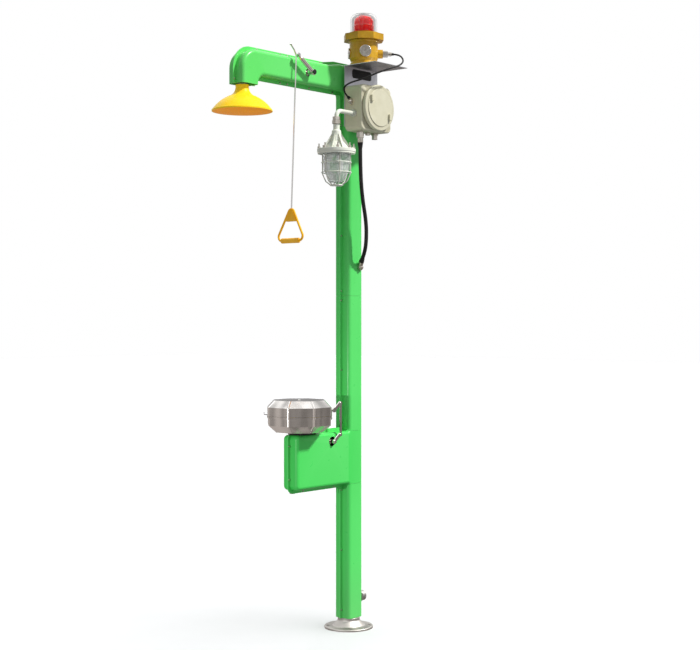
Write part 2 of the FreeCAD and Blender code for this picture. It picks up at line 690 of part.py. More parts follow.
def eyewash_bowl():
    """Open stainless bowl with a rolled rim, drain and supply holes, and rear hinge ears."""
    outer = octagon_solid([
        (BOWL_BOTTOM_FLATS, BOWL_BOTTOM, 16.0),
        (BOWL_FLATS, BOWL_SHOULDER, 16.0),
        (BOWL_FLATS, BOWL_RIM, 16.0),
    ])
    rim = octagon_solid([(BOWL_RIM_FLATS, BOWL_RIM - 7, 18.0), (BOWL_RIM_FLATS, BOWL_RIM, 18.0)])
    inner = octagon_solid([
        (BOWL_BOTTOM_FLATS - 3, BOWL_BOTTOM + SHEET, 15.0),
        (BOWL_FLATS - 2 * SHEET, BOWL_SHOULDER, 14.0),
        (BOWL_FLATS - 2 * SHEET, BOWL_RIM + 1, 14.0),
    ])
    bowl = outer.fuse(rim).cut(inner)
    bowl = bowl.cut(rod(at(0, SUPPLY_AHEAD, 830), at(0, SUPPLY_AHEAD, 850), BRANCH_RADIUS + 0.3))
    bowl = bowl.cut(rod(at(DRAIN_SIDE, DRAIN_AHEAD, 830), at(DRAIN_SIDE, DRAIN_AHEAD, 850), 11.3))
    rear = BOWL_AHEAD - BOWL_RIM_FLATS / 2
    for side in (-34.0, 30.0):
        low = BOWL_RIM - 24
        foot = block(at(side - 8, rear + 5, low), at(side + 12, rear - 3, BOWL_RIM - 1))
        ear = block(at(side, rear - 2, low), at(side + 4, HINGE_AHEAD + 6, HINGE_HEIGHT - 12))
        post = block(at(side, HINGE_AHEAD + 7, low), at(side + 4, HINGE_AHEAD - 7, HINGE_HEIGHT))
        pivot = at(side, HINGE_AHEAD, HINGE_HEIGHT)
        eye = rod(pivot, pivot + V(4, 0, 0), 8.0)
        arm = fuse([foot, ear, post, eye]).cut(inner)
        hole = rod(pivot - V(1, 0, 0), pivot + V(5, 0, 0), HINGE_PIN_RADIUS + RUNNING_CLEARANCE)
        bowl = bowl.fuse(arm.cut(hole))
    save("eyewash_bowl", bowl)


def bowl_cover():
    """Dished cover with a lift tab on its front left facet, hinge arms and centre rivet."""
    outer = octagon_solid([
        (COVER_FLATS, COVER_BOTTOM, 16.0),
        (COVER_FLATS, COVER_SHOULDER, 16.0),
        (COVER_TOP_FLATS, COVER_TOP, 16.0),
    ])
    inner = octagon_solid([
        (COVER_FLATS - 2 * SHEET, COVER_BOTTOM - 1, 14.0),
        (COVER_FLATS - 2 * SHEET, COVER_SHOULDER - 0.8, 14.0),
        (COVER_TOP_FLATS - 3, COVER_TOP - SHEET, 15.0),
    ])
    cover = outer.cut(inner)
    tab = block(V(-11, 0, 0), V(11, 16, 2.0))
    lip = block(V(-11, 14, 0), V(11, 16, 12.0))
    handle = fuse([tab, lip])
    handle.rotate(V(0, 0, 0), V(0, 0, 1), 135)
    facet = (COVER_FLATS / 2 - 0.5) * math.sqrt(0.5)
    handle.translate(V(-facet, -BOWL_AHEAD - facet, COVER_BOTTOM + 3))
    rivet = Part.makeSphere(6.0, at(0, BOWL_AHEAD, COVER_TOP - 3.5))
    rivet = rivet.common(block(at(-9, BOWL_AHEAD - 9, COVER_TOP - 1), at(9, BOWL_AHEAD + 9, COVER_TOP + 9)))
    save("bowl_cover", fuse([cover, handle, rivet] + cover_hinge_arms()))


def cover_hinge_arms():
    """Arms on the rear of the cover, each with an eye that holds the hinge pin."""
    rear = BOWL_AHEAD - COVER_FLATS / 2
    arms = []
    for side in (-26.0, 22.0):
        plate = block(at(side - 6, rear + 1, 910), at(side + 10, rear - 3, 938))
        arm = block(at(side, rear, 914), at(side + 4, HINGE_AHEAD, 929))
        pivot = at(side, HINGE_AHEAD, HINGE_HEIGHT)
        eye = rod(pivot, pivot + V(4, 0, 0), 9.0)
        hole = rod(pivot - V(1, 0, 0), pivot + V(5, 0, 0), HINGE_PIN_RADIUS)
        arms.append(fuse([plate, arm, eye]).cut(hole))
    return arms


def hinge_crank():
    """Hinge pin with its end collars and the crank that drives the link."""
    start = at(CRANK_SIDE, HINGE_AHEAD, HINGE_HEIGHT)
    end = start + at(0, -LINK_BACK, LINK_RISE)
    pin = rod(at(-38, HINGE_AHEAD, HINGE_HEIGHT), start, HINGE_PIN_RADIUS)
    collars = []
    for side in (-41.0, 39.0):
        pivot = at(side, HINGE_AHEAD, HINGE_HEIGHT)
        collars.append(rod(pivot, pivot + V(3, 0, 0), 6.5))
    crank = flat_lever(start, end, 4.0, PIVOT_PIN_RADIUS + OPEN_PIVOT_CLEARANCE)
    save("hinge_crank", fuse([pin, crank] + collars))


def flat_lever(start, end, thickness, eye_radius):
    """Flat lever in the side plane between two points, with an eye at its end."""
    across = V(thickness, 0, 0)
    direction = (end - start).normalize()
    sideways = direction.cross(V(1, 0, 0)).normalize() * 7.0
    corners = [start + sideways, end + sideways * 0.9, end - sideways * 0.9, start - sideways]
    web = Part.Face(Part.makePolygon(corners + [corners[0]])).extrude(across)
    lever = fuse([web, rod(start, start + across, 10.0), rod(end, end + across, 7.5)])
    return lever.cut(rod(end - across, end + across * 2, eye_radius))


def eyewash_valve():
    """Eyewash ball valve in the branch, with its stem, lever and the link up to the cover."""
    centre = at(0, HINGE_AHEAD, BRANCH_HEIGHT)
    body, ball, seats = ball_valve(centre, 40.0, 20.5, BRANCH_RADIUS, 9.5, 14.5, 5.0, 30.0)
    save("eyewash_valve_body", body)
    save("eyewash_valve_ball", fuse([ball, rod(centre + V(13, 0, 0), centre + V(CRANK_SIDE, 0, 0), 5.0)]))
    start = centre + V(CRANK_SIDE, 0, 0)
    end = start + at(0, -LINK_BACK, LINK_RISE)
    lever = flat_lever(start, end, 4.0, PIVOT_PIN_RADIUS + RUNNING_CLEARANCE)
    cap = nut(start + V(4, 0, 0), start + V(9, 0, 0), 12.0)
    save("eyewash_lever", fuse([lever, cap]))
    link_bar(end)
    return seats


def link_bar(low):
    """Link between the eyewash lever and the cover crank, with a pivot pin at each end."""
    rise = HINGE_HEIGHT - BRANCH_HEIGHT
    outside = 4.4
    start = low + V(outside, 0, 0)
    end = start + V(0, 0, rise)
    bar = block(start - V(0, 5.5, 0), end + V(3.5, 5.5, 0))
    pieces = [bar]
    for pivot in (start, end):
        pieces.append(rod(pivot, pivot + V(3.5, 0, 0), 7.5))
        pieces.append(rod(pivot - V(outside + 1.6, 0, 0), pivot + V(5.5, 0, 0), PIVOT_PIN_RADIUS))
        pieces.append(rod(pivot + V(3.4, 0, 0), pivot + V(6.0, 0, 0), 5.0))
    pieces.append(rod(start - V(outside + 2.6, 0, 0), start - V(outside + 0.4, 0, 0), 5.0))
    pieces.append(rod(end - V(outside + 2.6, 0, 0), end - V(outside + 0.4, 0, 0), 5.0))
    save("link_bar", fuse(pieces))


def branch_pipes():
    """Branch pipe from the riser to the eyewash valve, and from the valve to the elbow."""
    height = BRANCH_HEIGHT
    rear, front = HINGE_AHEAD - 22, HINGE_AHEAD + 22
    elbow_stop = SUPPLY_AHEAD - SUPPLY_REACH + SOCKET_DEPTH
    save("branch_pipes", group([
        tube(at(0, 34, height), at(0, rear, height), BRANCH_RADIUS, BRANCH_BORE),
        tube(at(0, front, height), at(0, elbow_stop, height), BRANCH_RADIUS, BRANCH_BORE),
    ]))


def spray_yoke():
    """Upright supply pipe with a locknut, and the yoke whose ends carry the nozzles."""
    low = at(0, SUPPLY_AHEAD, BRANCH_HEIGHT + SUPPLY_REACH - SOCKET_DEPTH)
    crown = at(0, SUPPLY_AHEAD, YOKE_HEIGHT)
    solid = [rod(low, crown, BRANCH_RADIUS), Part.makeSphere(BRANCH_RADIUS, crown)]
    hollow = [rod(low, crown, BRANCH_BORE)]
    locknut_low = BOWL_BOTTOM + SHEET
    solid.append(nut(at(0, SUPPLY_AHEAD, locknut_low), at(0, SUPPLY_AHEAD, locknut_low + 8), 34.0))
    for side in (-1, 1):
        corner = crown + V(side * NOZZLE_SIDE, 0, 0)
        top = corner + V(0, 0, 24)
        solid += [rod(crown, corner, 8.0), Part.makeSphere(8.0, corner), rod(corner, top, 8.0)]
        hollow += [rod(crown, corner, 6.0), Part.makeSphere(6.0, corner), rod(corner, top, 6.0)]
    save("spray_yoke", fuse(solid).cut(fuse(hollow)))


def spray_nozzles():
    """The pair of eyewash nozzles on the ends of the yoke."""
    feet = [at(side * NOZZLE_SIDE, SUPPLY_AHEAD, YOKE_HEIGHT + 8.5) for side in (-1, 1)]
    save("spray_nozzles", group([spray_nozzle(foot) for foot in feet]))


def spray_nozzle(foot):
    """Eyewash nozzle: socket on the yoke, flared cup and perforated cap."""
    body = revolve(
        [
            (8.05, 0.0, 0.0),
            (11.0, 0.0, 0.0),
            (11.0, 14.0, 3.0),
            (24.0, 28.0, 5.0),
            (24.0, 42.0, 3.0),
            (13.0, 47.0, 8.0),
            (0.0, 48.0, 0.0),
            (0.0, 44.5, 0.0),
            (12.0, 44.0, 4.0),
            (21.0, 39.0, 2.0),
            (21.0, 29.0, 3.0),
            (6.0, 19.0, 0.0),
            (6.0, 15.6, 0.0),
            (8.05, 15.6, 0.0),
        ],
        foot,
    )
    for step in range(8):
        angle = 2 * math.pi * step / 8
        place = foot + V(math.cos(angle), math.sin(angle), 0) * 7.5
        body = body.cut(rod(place + V(0, 0, 40), place + V(0, 0, 52), 1.2))
    return body


def bowl_seat():
    """Rubber seat between the housing's top and the bowl."""
    seat_low = HOUSING_TOP + 0.2
    corners = [(-38, -BOWL_AHEAD - 31, 8), (38, -BOWL_AHEAD - 31, 8), (38, -245, 8), (-38, -245, 8)]
    seat = Part.Face(rounded_wire(corners, lambda u, v: V(u, v, seat_low)))
    seat = seat.extrude(V(0, 0, BOWL_BOTTOM - 0.1 - seat_low))
    seat = seat.cut(rod(at(0, SUPPLY_AHEAD, 820), at(0, SUPPLY_AHEAD, 850), BRANCH_RADIUS + 0.3))
    seat = seat.cut(rod(at(DRAIN_SIDE, DRAIN_AHEAD, 820), at(DRAIN_SIDE, DRAIN_AHEAD, 850), 11.3))
    save("bowl_seat", seat)


def bowl_drain():
    """Strainer in the bowl, and the drain tube that leaves under the housing."""
    drain = at(DRAIN_SIDE, DRAIN_AHEAD, 0)
    drain_pipe = tube(drain + V(0, 0, 589), drain + V(0, 0, 841), 11.0, 9.0)
    strainer = revolve(
        [(0.0, 843.6, 0.0), (16.0, 843.6, 2.0), (19.0, 842.1, 0.0), (19.0, 842.0, 0.0), (8.9, 842.0, 0.0),
         (8.9, 834.0, 0.0), (7.4, 834.0, 0.0), (7.4, 841.0, 0.0), (0.0, 841.0, 0.0)],
        drain,
    )
    for step in range(6):
        angle = 2 * math.pi * step / 6
        place = drain + V(math.cos(angle), math.sin(angle), 0) * 4.6
        strainer = strainer.cut(rod(place + V(0, 0, 838), place + V(0, 0, 848), 1.4))
    save("bowl_drain", group([drain_pipe, strainer]))


# ---------------------------------------------------------------- electrical side
def bracket():
    """Folded stainless bracket: upright plate against the column and shelf for the beacon."""
    side, sheet = BRACKET_SIDE, BRACKET_SHEET
    shelf_end = 223.0
    rear, face = -115.0, 100.0
    bend = 4.0
    low = 2086.0
    wire = rounded_wire(
        [
            (side, low, 0.0),
            (side, SHELF_TOP, bend),
            (shelf_end, SHELF_TOP, 0.0),
            (shelf_end, SHELF_TOP - sheet, 0.0),
            (side + sheet, SHELF_TOP - sheet, bend - sheet),
            (side + sheet, low, 0.0),
        ],
        lambda u, v: at(u, rear, v),
    )
    plate = Part.Face(wire).extrude(at(0, face - rear, 0))
    slot = [(-47.0, 2296.0, 8.0), (70.0, 2296.0, 8.0), (70.0, 2327.0, 8.0), (-47.0, 2327.0, 8.0)]
    slot_face = Part.Face(rounded_wire(slot, lambda u, v: V(side - 5, u, v)))
    plate = plate.cut(slot_face.extrude(V(12, 0, 0)))
    for ahead, height in clamp_bolt_places():
        plate = plate.cut(rod(at(side - 1, ahead, height), at(side + 3, ahead, height), 4.2))
    for ahead, across in beacon_feet():
        plate = plate.cut(rod(at(across, ahead, SHELF_TOP - 5), at(across, ahead, SHELF_TOP + 1), 3.3))
    save("bracket", plate)
    blank = [(-46.6, 2296.4, 7.6), (69.6, 2296.4, 7.6), (69.6, 2326.6, 7.6), (-46.6, 2326.6, 7.6)]
    blank_face = Part.Face(rounded_wire(blank, lambda u, v: V(side - 1, u, v)))
    lip = [(-50, 2293, 10.0), (73, 2293, 10.0), (73, 2330, 10.0), (-50, 2330, 10.0)]
    lip_face = Part.Face(rounded_wire(lip, lambda u, v: V(side + sheet, u, v)))
    save("slot_blank", fuse([blank_face.extrude(V(sheet + 1, 0, 0)), lip_face.extrude(V(1.2, 0, 0))]))


def clamp_bolt_places():
    """Bolts that hold the bracket to its pipe clamps, as (ahead, height)."""
    return [(0.0, height) for height in CLAMP_HEIGHTS]


def beacon_feet():
    """Screws through the shelf into the beacon's base, as (ahead, side)."""
    return [(BEACON_AHEAD + 32 * a, BEACON_SIDE + 32 * b) for a in (-1, 1) for b in (-1, 1)]


def bracket_clamps():
    """Clamps round the riser whose square arms pass through the casing to the bracket."""
    clamps = []
    for height in CLAMP_HEIGHTS:
        ring = tube(at(0, 0, height - 12), at(0, 0, height + 12), 28.0, PIPE_RADIUS + SOCKET_CLEARANCE)
        arm = block(at(26, 6.5, height - 6.5), at(BRACKET_SIDE - 0.05, -6.5, height + 6.5))
        clamp = fuse([ring, arm]).cut(rod(at(40, 0, height), at(70, 0, height), 4.0))
        cable_notch = block(at(-36, 6, height - 20), at(-PIPE_RADIUS - 0.2, -6, height + 20))
        clamps.append(clamp.cut(cable_notch))
    save("bracket_clamps", group(clamps))


def junction_box():
    """Cast junction box with a threaded round cover, lugs, terminal rail and blanking plugs."""
    middle = (BOX_BOTTOM + BOX_TOP) / 2 + 2.5
    half = BOX_HALF_WIDTH
    outline = [(-half, BOX_BOTTOM, 22), (half, BOX_BOTTOM, 22), (half, BOX_TOP, 22), (-half, BOX_TOP, 22)]
    face = Part.Face(rounded_wire(outline, lambda u, v: V(BOX_REAR, u, v)))
    body = face.extrude(V(BOX_FRONT - BOX_REAR, 0, 0))
    front_edges = [edge for edge in body.Edges if edge.BoundBox.XMin > BOX_FRONT - 0.01]
    body = body.makeFillet(6.0, front_edges)
    hub = at(BOX_FRONT, 0, middle)
    throat = 78.0
    collar = rod(hub - V(2, 0, 0), hub + V(5, 0, 0), 88.0)
    body = body.fuse(collar)
    body = body.cut(rod(hub - V(22, 0, 0), hub + V(8, 0, 0), throat))
    inside = block(at(BOX_REAR + 8, half - 9, BOX_BOTTOM + 9), at(BOX_FRONT - 12, -half + 9, BOX_TOP - 9))
    body = body.cut(inside)
    for place, radius in box_entries():
        body = body.cut(rod(place[0], place[1], radius))
    save("box_body", body)
    cover = rod(hub + V(5.3, 0, 0), hub + V(19, 0, 0), BOX_COVER_RADIUS)
    outer_edge = [edge for edge in cover.Edges if edge.BoundBox.XMin > BOX_FRONT + 18]
    cover = cover.makeFillet(5.0, outer_edge)
    disc = rod(hub + V(18, 0, 0), hub + V(22, 0, 0), 77.5)
    disc_edge = [edge for edge in disc.Edges if edge.BoundBox.XMin > BOX_FRONT + 21]
    disc = disc.makeFillet(2.0, disc_edge)
    thread = tube(hub - V(14, 0, 0), hub + V(6, 0, 0), throat - 0.3, throat - 7)
    pieces = [cover, disc, thread]
    for sign in (-1, 1):
        lug = V(BOX_FRONT + 18, sign * 58, middle + sign * 34 * -1)
        pieces.append(block(lug - V(0, 7, 12), lug + V(13, 7, 12)))
    save("box_cover", fuse(pieces))
    rail = block(at(BOX_REAR + 8.2, 60, middle - 9), at(BOX_REAR + 14, -60, middle + 9))
    blocks = []
    for index in range(8):
        low = -48.0 + index * 12
        near = at(BOX_REAR + 14.2, low, middle - 24)
        terminal = block(near, at(BOX_REAR + 50, low + 11.4, middle + 24))
        for height in (middle - 14, middle + 14):
            screw_bottom = at(BOX_REAR + 40, low + 5.7, height)
            terminal = terminal.cut(rod(screw_bottom, screw_bottom + V(12, 0, 0), 3))
        blocks.append(terminal)
    save("terminal_blocks", group([rail] + blocks))


def box_entries():
    """Threaded entries into the junction box, as a pair of points and a radius."""
    low, half = BOX_BOTTOM, BOX_HALF_WIDTH
    side = CONDUIT_ROUTE[0][0]
    return [
        ((at(side, CONDUIT_ROUTE[0][1], low - 2), at(side, CONDUIT_ROUTE[0][1], low + 12)), 10.0),
        ((at(side, 0, low - 2), at(side, 0, low + 12)), 7.0),
        ((at(side, -46, low - 2), at(side, -46, low + 12)), 10.0),
        ((at(97, half - 12, 2184), at(97, half + 2, 2184)), 7.0),
        ((at(LAMP_SIDE, half - 12, LAMP_PIPE_HEIGHT), at(LAMP_SIDE, half + 2, LAMP_PIPE_HEIGHT)), 9.0),
    ]


def box_plugs():
    """Two blanking plugs in the box's lower entries."""
    side, low = CONDUIT_ROUTE[0][0], BOX_BOTTOM
    small = fuse([
        rod(at(side, 0, low - 3), at(side, 0, low + 9), 6.9),
        nut(at(side, 0, low - 12), at(side, 0, low - 0.2), 19.0),
    ])
    large = fuse([
        rod(at(side, -46, low - 3), at(side, -46, low + 9), 9.9),
        rod(at(side, -46, low - 8), at(side, -46, low - 0.2), 15.0),
        nut(at(side, -46, low - 26), at(side, -46, low - 7), 22.0),
    ])
    return [small, large]


def cable_gland(mouth, outward, length, cord_radius, thread_radius, base_flats, cap_flats):
    """Cable gland that ends at its mouth: thread, base hexagon, cap nut and a cord seat."""
    base = mouth - outward * length
    middle = mouth - outward * (length * 0.45)
    pieces = [
        rod(base - outward * 9, base + outward * 2, thread_radius),
        nut(base + outward * 0.3, middle, base_flats),
        rod(middle - outward * 1, mouth - outward * 2, cap_flats / 2),
        taper(mouth - outward * 2.5, mouth, cap_flats / 2 - 0.5, cord_radius + 2.2),
    ]
    return fuse(pieces)


def gland_nodes():
    """The four glands where a cable enters a housing."""
    start = CONDUIT_ROUTE[0]
    mouth = at(start[0], start[1], start[2])
    upper = cable_gland(mouth, V(0, 0, -1), BOX_BOTTOM - start[2] - 0.3, 8.0, 9.9, 28.0, 24.0)
    save("conduit_glands", group([upper, conduit_gland_lower()]))
    end = at(*BEACON_CABLE_ROUTE[-1])
    outward = (at(*BEACON_CABLE_ROUTE[-2]) - end).normalize()
    seat = at(97.0, BOX_HALF_WIDTH + 0.2, 2184.0)
    pieces = [
        rod(seat - at(0, 9, 0), seat + at(0, 3, 0), 6.9),
        nut(seat, seat + at(0, 7, 0), 18.0),
        rod(end - outward * 13, end, 7.5),
        Part.makeSphere(8.5, seat + at(0, 9, 2)),
    ]
    save("cable_glands", group([fuse(pieces), beacon_gland()]))


def conduit_gland_base(side):
    """Centre of the conduit gland's foot on the casing, at a given distance along +X."""
    end = CONDUIT_ROUTE[-1]
    return at(side, end[1] - 8.3, end[2] - 23.0)


def conduit_gland_lower():
    """Angled gland on the column: foot through the casing wall, elbow and cap nut."""
    mouth = at(*CONDUIT_ROUTE[-1])
    outward = (at(*CONDUIT_ROUTE[-2]) - mouth).normalize()
    side = COLUMN_WIDTH / 2 + 0.3
    foot = conduit_gland_base(side)
    root = conduit_gland_base(side + 9)
    throat = mouth - outward * 14
    return fuse([
        rod(conduit_gland_base(30), foot + V(2, 0, 0), 8.0),
        nut(foot, root, 26.0),
        Part.makeSphere(10.5, root),
        rod(root, throat, 9.0),
        rod(throat, mouth, 11.5),
    ])


def beacon():
    """Alarm beacon: cast body, clamp ring, clear dome, red lens, lamp board and plugs."""
    base = at(BEACON_SIDE, BEACON_AHEAD, SHELF_TOP + 0.2)
    body = revolve(
        [
            (0.0, 0.0, 0.0),
            (56.0, 0.0, 0.0),
            (56.0, 7.0, 2.0),
            (52.0, 12.0, 4.0),
            (58.5, 26.0, 6.0),
            (58.5, 90.0, 5.0),
            (66.0, 99.0, 2.0),
            (44.0, 99.0, 0.0),
            (44.0, 88.0, 2.0),
            (50.0, 84.0, 4.0),
            (50.0, 12.0, 5.0),
            (0.0, 8.0, 0.0),
        ],
        base,
    )
    for direction, radius, reach, _ in beacon_bosses():
        centre = beacon_boss_centre()
        body = body.fuse(rod(centre + direction * 40, centre + direction * reach, radius))
        body = body.cut(rod(centre + direction * 42, centre + direction * (reach + 1), radius - 5.5))
    inner = rod(base + V(0, 0, 14), base + V(0, 0, 84), 49.0)
    body = body.cut(inner)
    for ahead, across in beacon_feet():
        body = body.cut(rod(at(across, ahead, SHELF_TOP - 1), at(across, ahead, SHELF_TOP + 6), 2.6))
    save("beacon_body", body)
    ring_low = base + V(0, 0, 99.2)
    ring_corners = polygon_corners(158.0, 8, 4.0, ring_low.x, ring_low.y)
    ring = Part.Face(rounded_wire(ring_corners, lambda u, v: V(u, v, ring_low.z))).extrude(V(0, 0, 26))
    ring = ring.cut(rod(ring_low - V(0, 0, 1), ring_low + V(0, 0, 6.6), 61.0))
    ring = ring.cut(rod(ring_low - V(0, 0, 1), ring_low + V(0, 0, 40), 56.0))
    collar = tube(ring_low + V(0, 0, 26), ring_low + V(0, 0, 32), 64.0, 56.0)
    save("beacon_ring", fuse([ring, collar]))
    save("beacon_dome", dome_shell(ring_low, 55.5, 3.5, 111.0, 60.5))
    save("beacon_lens", dome_shell(ring_low + V(0, 0, 0.2), 41.0, 3.0, 104.0, 44.0))
    board_foot = base + V(0, 0, 84.3)
    post = rod(board_foot, board_foot + V(0, 0, 78), 9.0)
    board = fuse([rod(board_foot, board_foot + V(0, 0, 4), 43.0), post])
    save("beacon_light_board", board)


def dome_shell(low, radius, wall, height, flange):
    """Clear or coloured dome: foot flange, straight side and rounded crown."""
    return revolve(
        [
            (radius - wall, 0.0, 0.0),
            (flange, 0.0, 0.0),
            (flange, 5.0, 1.0),
            (radius, 5.0, 0.0),
            (radius, height, 26.0),
            (0.0, height, 0.0),
            (0.0, height - wall, 0.0),
            (radius - wall, height - wall, 26.0 - wall),
        ],
        low,
    )


def beacon_boss_centre():
    """The point where the axes of the beacon's bosses meet."""
    return at(BEACON_SIDE, BEACON_AHEAD, SHELF_TOP + BEACON_BOSS_LIFT)


def beacon_bosses():
    """Entry bosses round the beacon, as (direction, radius, reach, cap thickness)."""
    toward_viewer = V(1, -1, 0).normalize()
    toward_cable = V(1, 1, 0).normalize()
    return [
        (toward_viewer, 24.0, 66.0, 9.0),
        (toward_cable, 18.0, 78.0, 0.0),
        (toward_viewer * -1, 22.0, 59.0, 5.0),
        (toward_cable * -1, 22.0, 59.0, 5.0),
    ]


def beacon_plugs():
    """Slotted plugs in three of the beacon's bosses."""
    centre = beacon_boss_centre()
    bosses = beacon_bosses()
    plugs = []
    for index in (0, 2, 3):
        direction, radius, reach, cap = bosses[index]
        stem = rod(centre + direction * (reach - 6), centre + direction * (reach + 1), radius - 5.7)
        head = rod(centre + direction * (reach + 0.2), centre + direction * (reach + cap), radius)
        edges = []
        for edge in head.Edges:
            if (edge.CenterOfMass - centre).dot(direction) > reach + cap - 1:
                edges.append(edge)
        slot = block(V(-30, -1.5, -1.5), V(30, 1.5, 1.5))
        slot.rotate(V(0, 0, 0), V(0, 0, 1), math.degrees(math.atan2(direction.y, direction.x)) + 90)
        slot.translate(centre + direction * (reach + cap))
        plugs.append(fuse([stem, head.makeFillet(1.5, edges)]).cut(slot))
    return plugs


def beacon_gland():
    """Gland in the beacon's remaining boss, which holds the cable."""
    centre = beacon_boss_centre()
    direction, _, reach, _ = beacon_bosses()[1]
    mouth = at(*BEACON_CABLE_ROUTE[0])
    length = (mouth - centre).dot(direction) - reach - 0.2
    return cable_gland(mouth, direction, length, 3.5, 12.2, 24.0, 17.0)


def lamp():
    """Caged lamp on a bent pipe from the junction box."""
    height = LAMP_PIPE_HEIGHT
    wall = BOX_HALF_WIDTH
    bend = 26.0
    corner = at(LAMP_SIDE, LAMP_AHEAD, height)
    start = at(LAMP_SIDE, wall - 10, height)
    drop = V(0, 0, -1)
    straight = rod(start, corner + at(0, -bend, 0), 8.8)
    down_start = corner + drop * bend
    down = rod(down_start, down_start + drop * 30, 8.8)
    bend_centre = corner + at(0, -bend, 0) + drop * bend
    quarter = Part.makeTorus(bend, 8.8, bend_centre, V(1, 0, 0))
    window = block(bend_centre, bend_centre + V(0, -bend - 20, bend + 20) + V(20, 0, 0))
    window = window.fuse(block(bend_centre, bend_centre + V(0, -bend - 20, bend + 20) - V(20, 0, 0)))
    quarter = quarter.common(window)
    flange = nut(at(LAMP_SIDE, wall + 0.2, height), at(LAMP_SIDE, wall + 12, height), 27.0)
    save("lamp_pipe", fuse([straight, quarter, down, flange]))
    axis = at(LAMP_SIDE, LAMP_AHEAD, 0)
    lamp_body(axis)
    lamp_fasteners(axis)
    lamp_cage(axis)
    lamp_glass(axis)


def lamp_body(axis):
    """Lamp body: pipe nuts, neck, ribbed cone and bolted flange."""
    top = LAMP_PIPE_HEIGHT - 26 - 30
    cone = revolve(
        [
            (0.0, top - 0.2, 0.0),
            (13.0, top - 0.2, 0.0),
            (13.0, 2058.0, 2.0),
            (18.5, 2053.0, 3.0),
            (20.0, 2034.0, 8.0),
            (28.0, 2010.0, 8.0),
            (46.0, 1991.0, 9.0),
            (53.0, 1980.0, 4.0),
            (78.0, 1980.0, 2.0),
            (78.0, 1966.0, 2.0),
            (62.2, 1966.0, 0.0),
            (62.2, 1972.0, 0.0),
            (44.0, 1974.0, 2.0),
            (22.0, 1998.0, 5.0),
            (0.0, 2004.0, 0.0),
        ],
        axis,
    )
    pieces = [cone]
    for step in range(8):
        angle = 360.0 * step / 8 + 22.5
        corners = [V(14, -1.5, 2048), V(21, -1.5, 2040), V(63, -1.5, 1976), V(40, -1.5, 1976)]
        rib = Part.Face(Part.makePolygon(corners + [corners[0]])).extrude(V(0, 3, 0))
        rib.rotate(V(0, 0, 0), V(0, 0, 1), angle)
        rib.translate(axis)
        pieces.append(rib)
    hollow = [(0.0, 1972.5, 0.0), (48.0, 1972.5, 0.0), (44.0, 1974.0, 0.0)]
    hollow += [(22.0, 1998.0, 0.0), (0.0, 2004.0, 0.0)]
    inside = revolve(hollow, axis)
    body = fuse(pieces).cut(inside)
    save("lamp_body", body)


def lamp_fasteners(axis):
    """Two nuts on the lamp's pipe and the bolts round its flange."""
    bolts = [
        nut(axis + V(0, 0, 2110), axis + V(0, 0, 2096), 28.0, 8.9),
        nut(axis + V(0, 0, 2095), axis + V(0, 0, 2081), 32.0, 8.9),
    ]
    for step in range(8):
        angle = 2 * math.pi * step / 8
        place = axis + V(math.cos(angle), math.sin(angle), 0) * 70.5
        stud = rod(place + V(0, 0, 1980.2), place + V(0, 0, 2001), 2.8)
        bolts.append(stud.fuse(nut(place + V(0, 0, 1980.2), place + V(0, 0, 1989), 11.0)))
    save("lamp_fasteners", group(bolts))


def lamp_glass(axis):
    """Well glass, lamp holder and bulb."""
    glass = revolve(
        [
            (51.5, 1971.6, 0.0),
            (61.8, 1971.6, 0.0),
            (61.8, 1967.0, 0.0),
            (54.5, 1966.0, 0.0),
            (52.0, 1895.0, 34.0),
            (29.0, 1844.0, 14.0),
            (0.0, 1844.0, 0.0),
            (0.0, 1847.0, 0.0),
            (27.5, 1847.0, 12.0),
            (49.0, 1896.0, 31.0),
        ],
        axis,
    )
    save("lamp_glass", glass)
    holder_neck = rod(axis + V(0, 0, 1998), axis + V(0, 0, 1985), 15.0)
    holder = fuse([holder_neck, rod(axis + V(0, 0, 1986), axis + V(0, 0, 1970), 20.0)])
    save("lamp_holder", holder)
    outline = [(0.0, 1969.8, 0.0), (13.0, 1969.8, 0.0), (14.0, 1950.0, 8.0)]
    outline += [(29.0, 1920.0, 14.0), (27.0, 1888.0, 18.0), (0.0, 1880.0, 0.0)]
    save("lamp_bulb", revolve(outline, axis))


def lamp_cage(axis):
    """Guard cage: mounting ring, upright wires that close in at the foot, and hoops."""
    wire = 2.4
    span = 58.6
    knee = 1880.0
    foot = 1834.0
    foot_radius = 24.0
    cage = tube(axis + V(0, 0, 1965.8), axis + V(0, 0, 1960), 76.0, 56.6)
    for step in range(6):
        angle = math.radians(60 * step + 24)
        outward = V(math.cos(angle), math.sin(angle), 0)
        high = axis + outward * span + V(0, 0, 1962)
        middle = axis + outward * span + V(0, 0, knee)
        lean = axis + outward * (span - 14) + V(0, 0, knee - 30)
        low = axis + outward * foot_radius + V(0, 0, foot)
        bends = [Part.makeSphere(wire, middle), Part.makeSphere(wire, lean)]
        for piece in [rod(high, middle, wire), rod(middle, lean, wire), rod(lean, low, wire)] + bends:
            cage = cage.fuse(piece)
    hoops = [(1925.0, span + 1.3, 2.1), (knee + 5, span + 1.3, 2.1), (foot, foot_radius, 3.2)]
    for height, radius, thickness in hoops:
        cage = cage.fuse(Part.makeTorus(radius, thickness, axis + V(0, 0, height), V(0, 0, 1)))
    save("lamp_cage", cage)


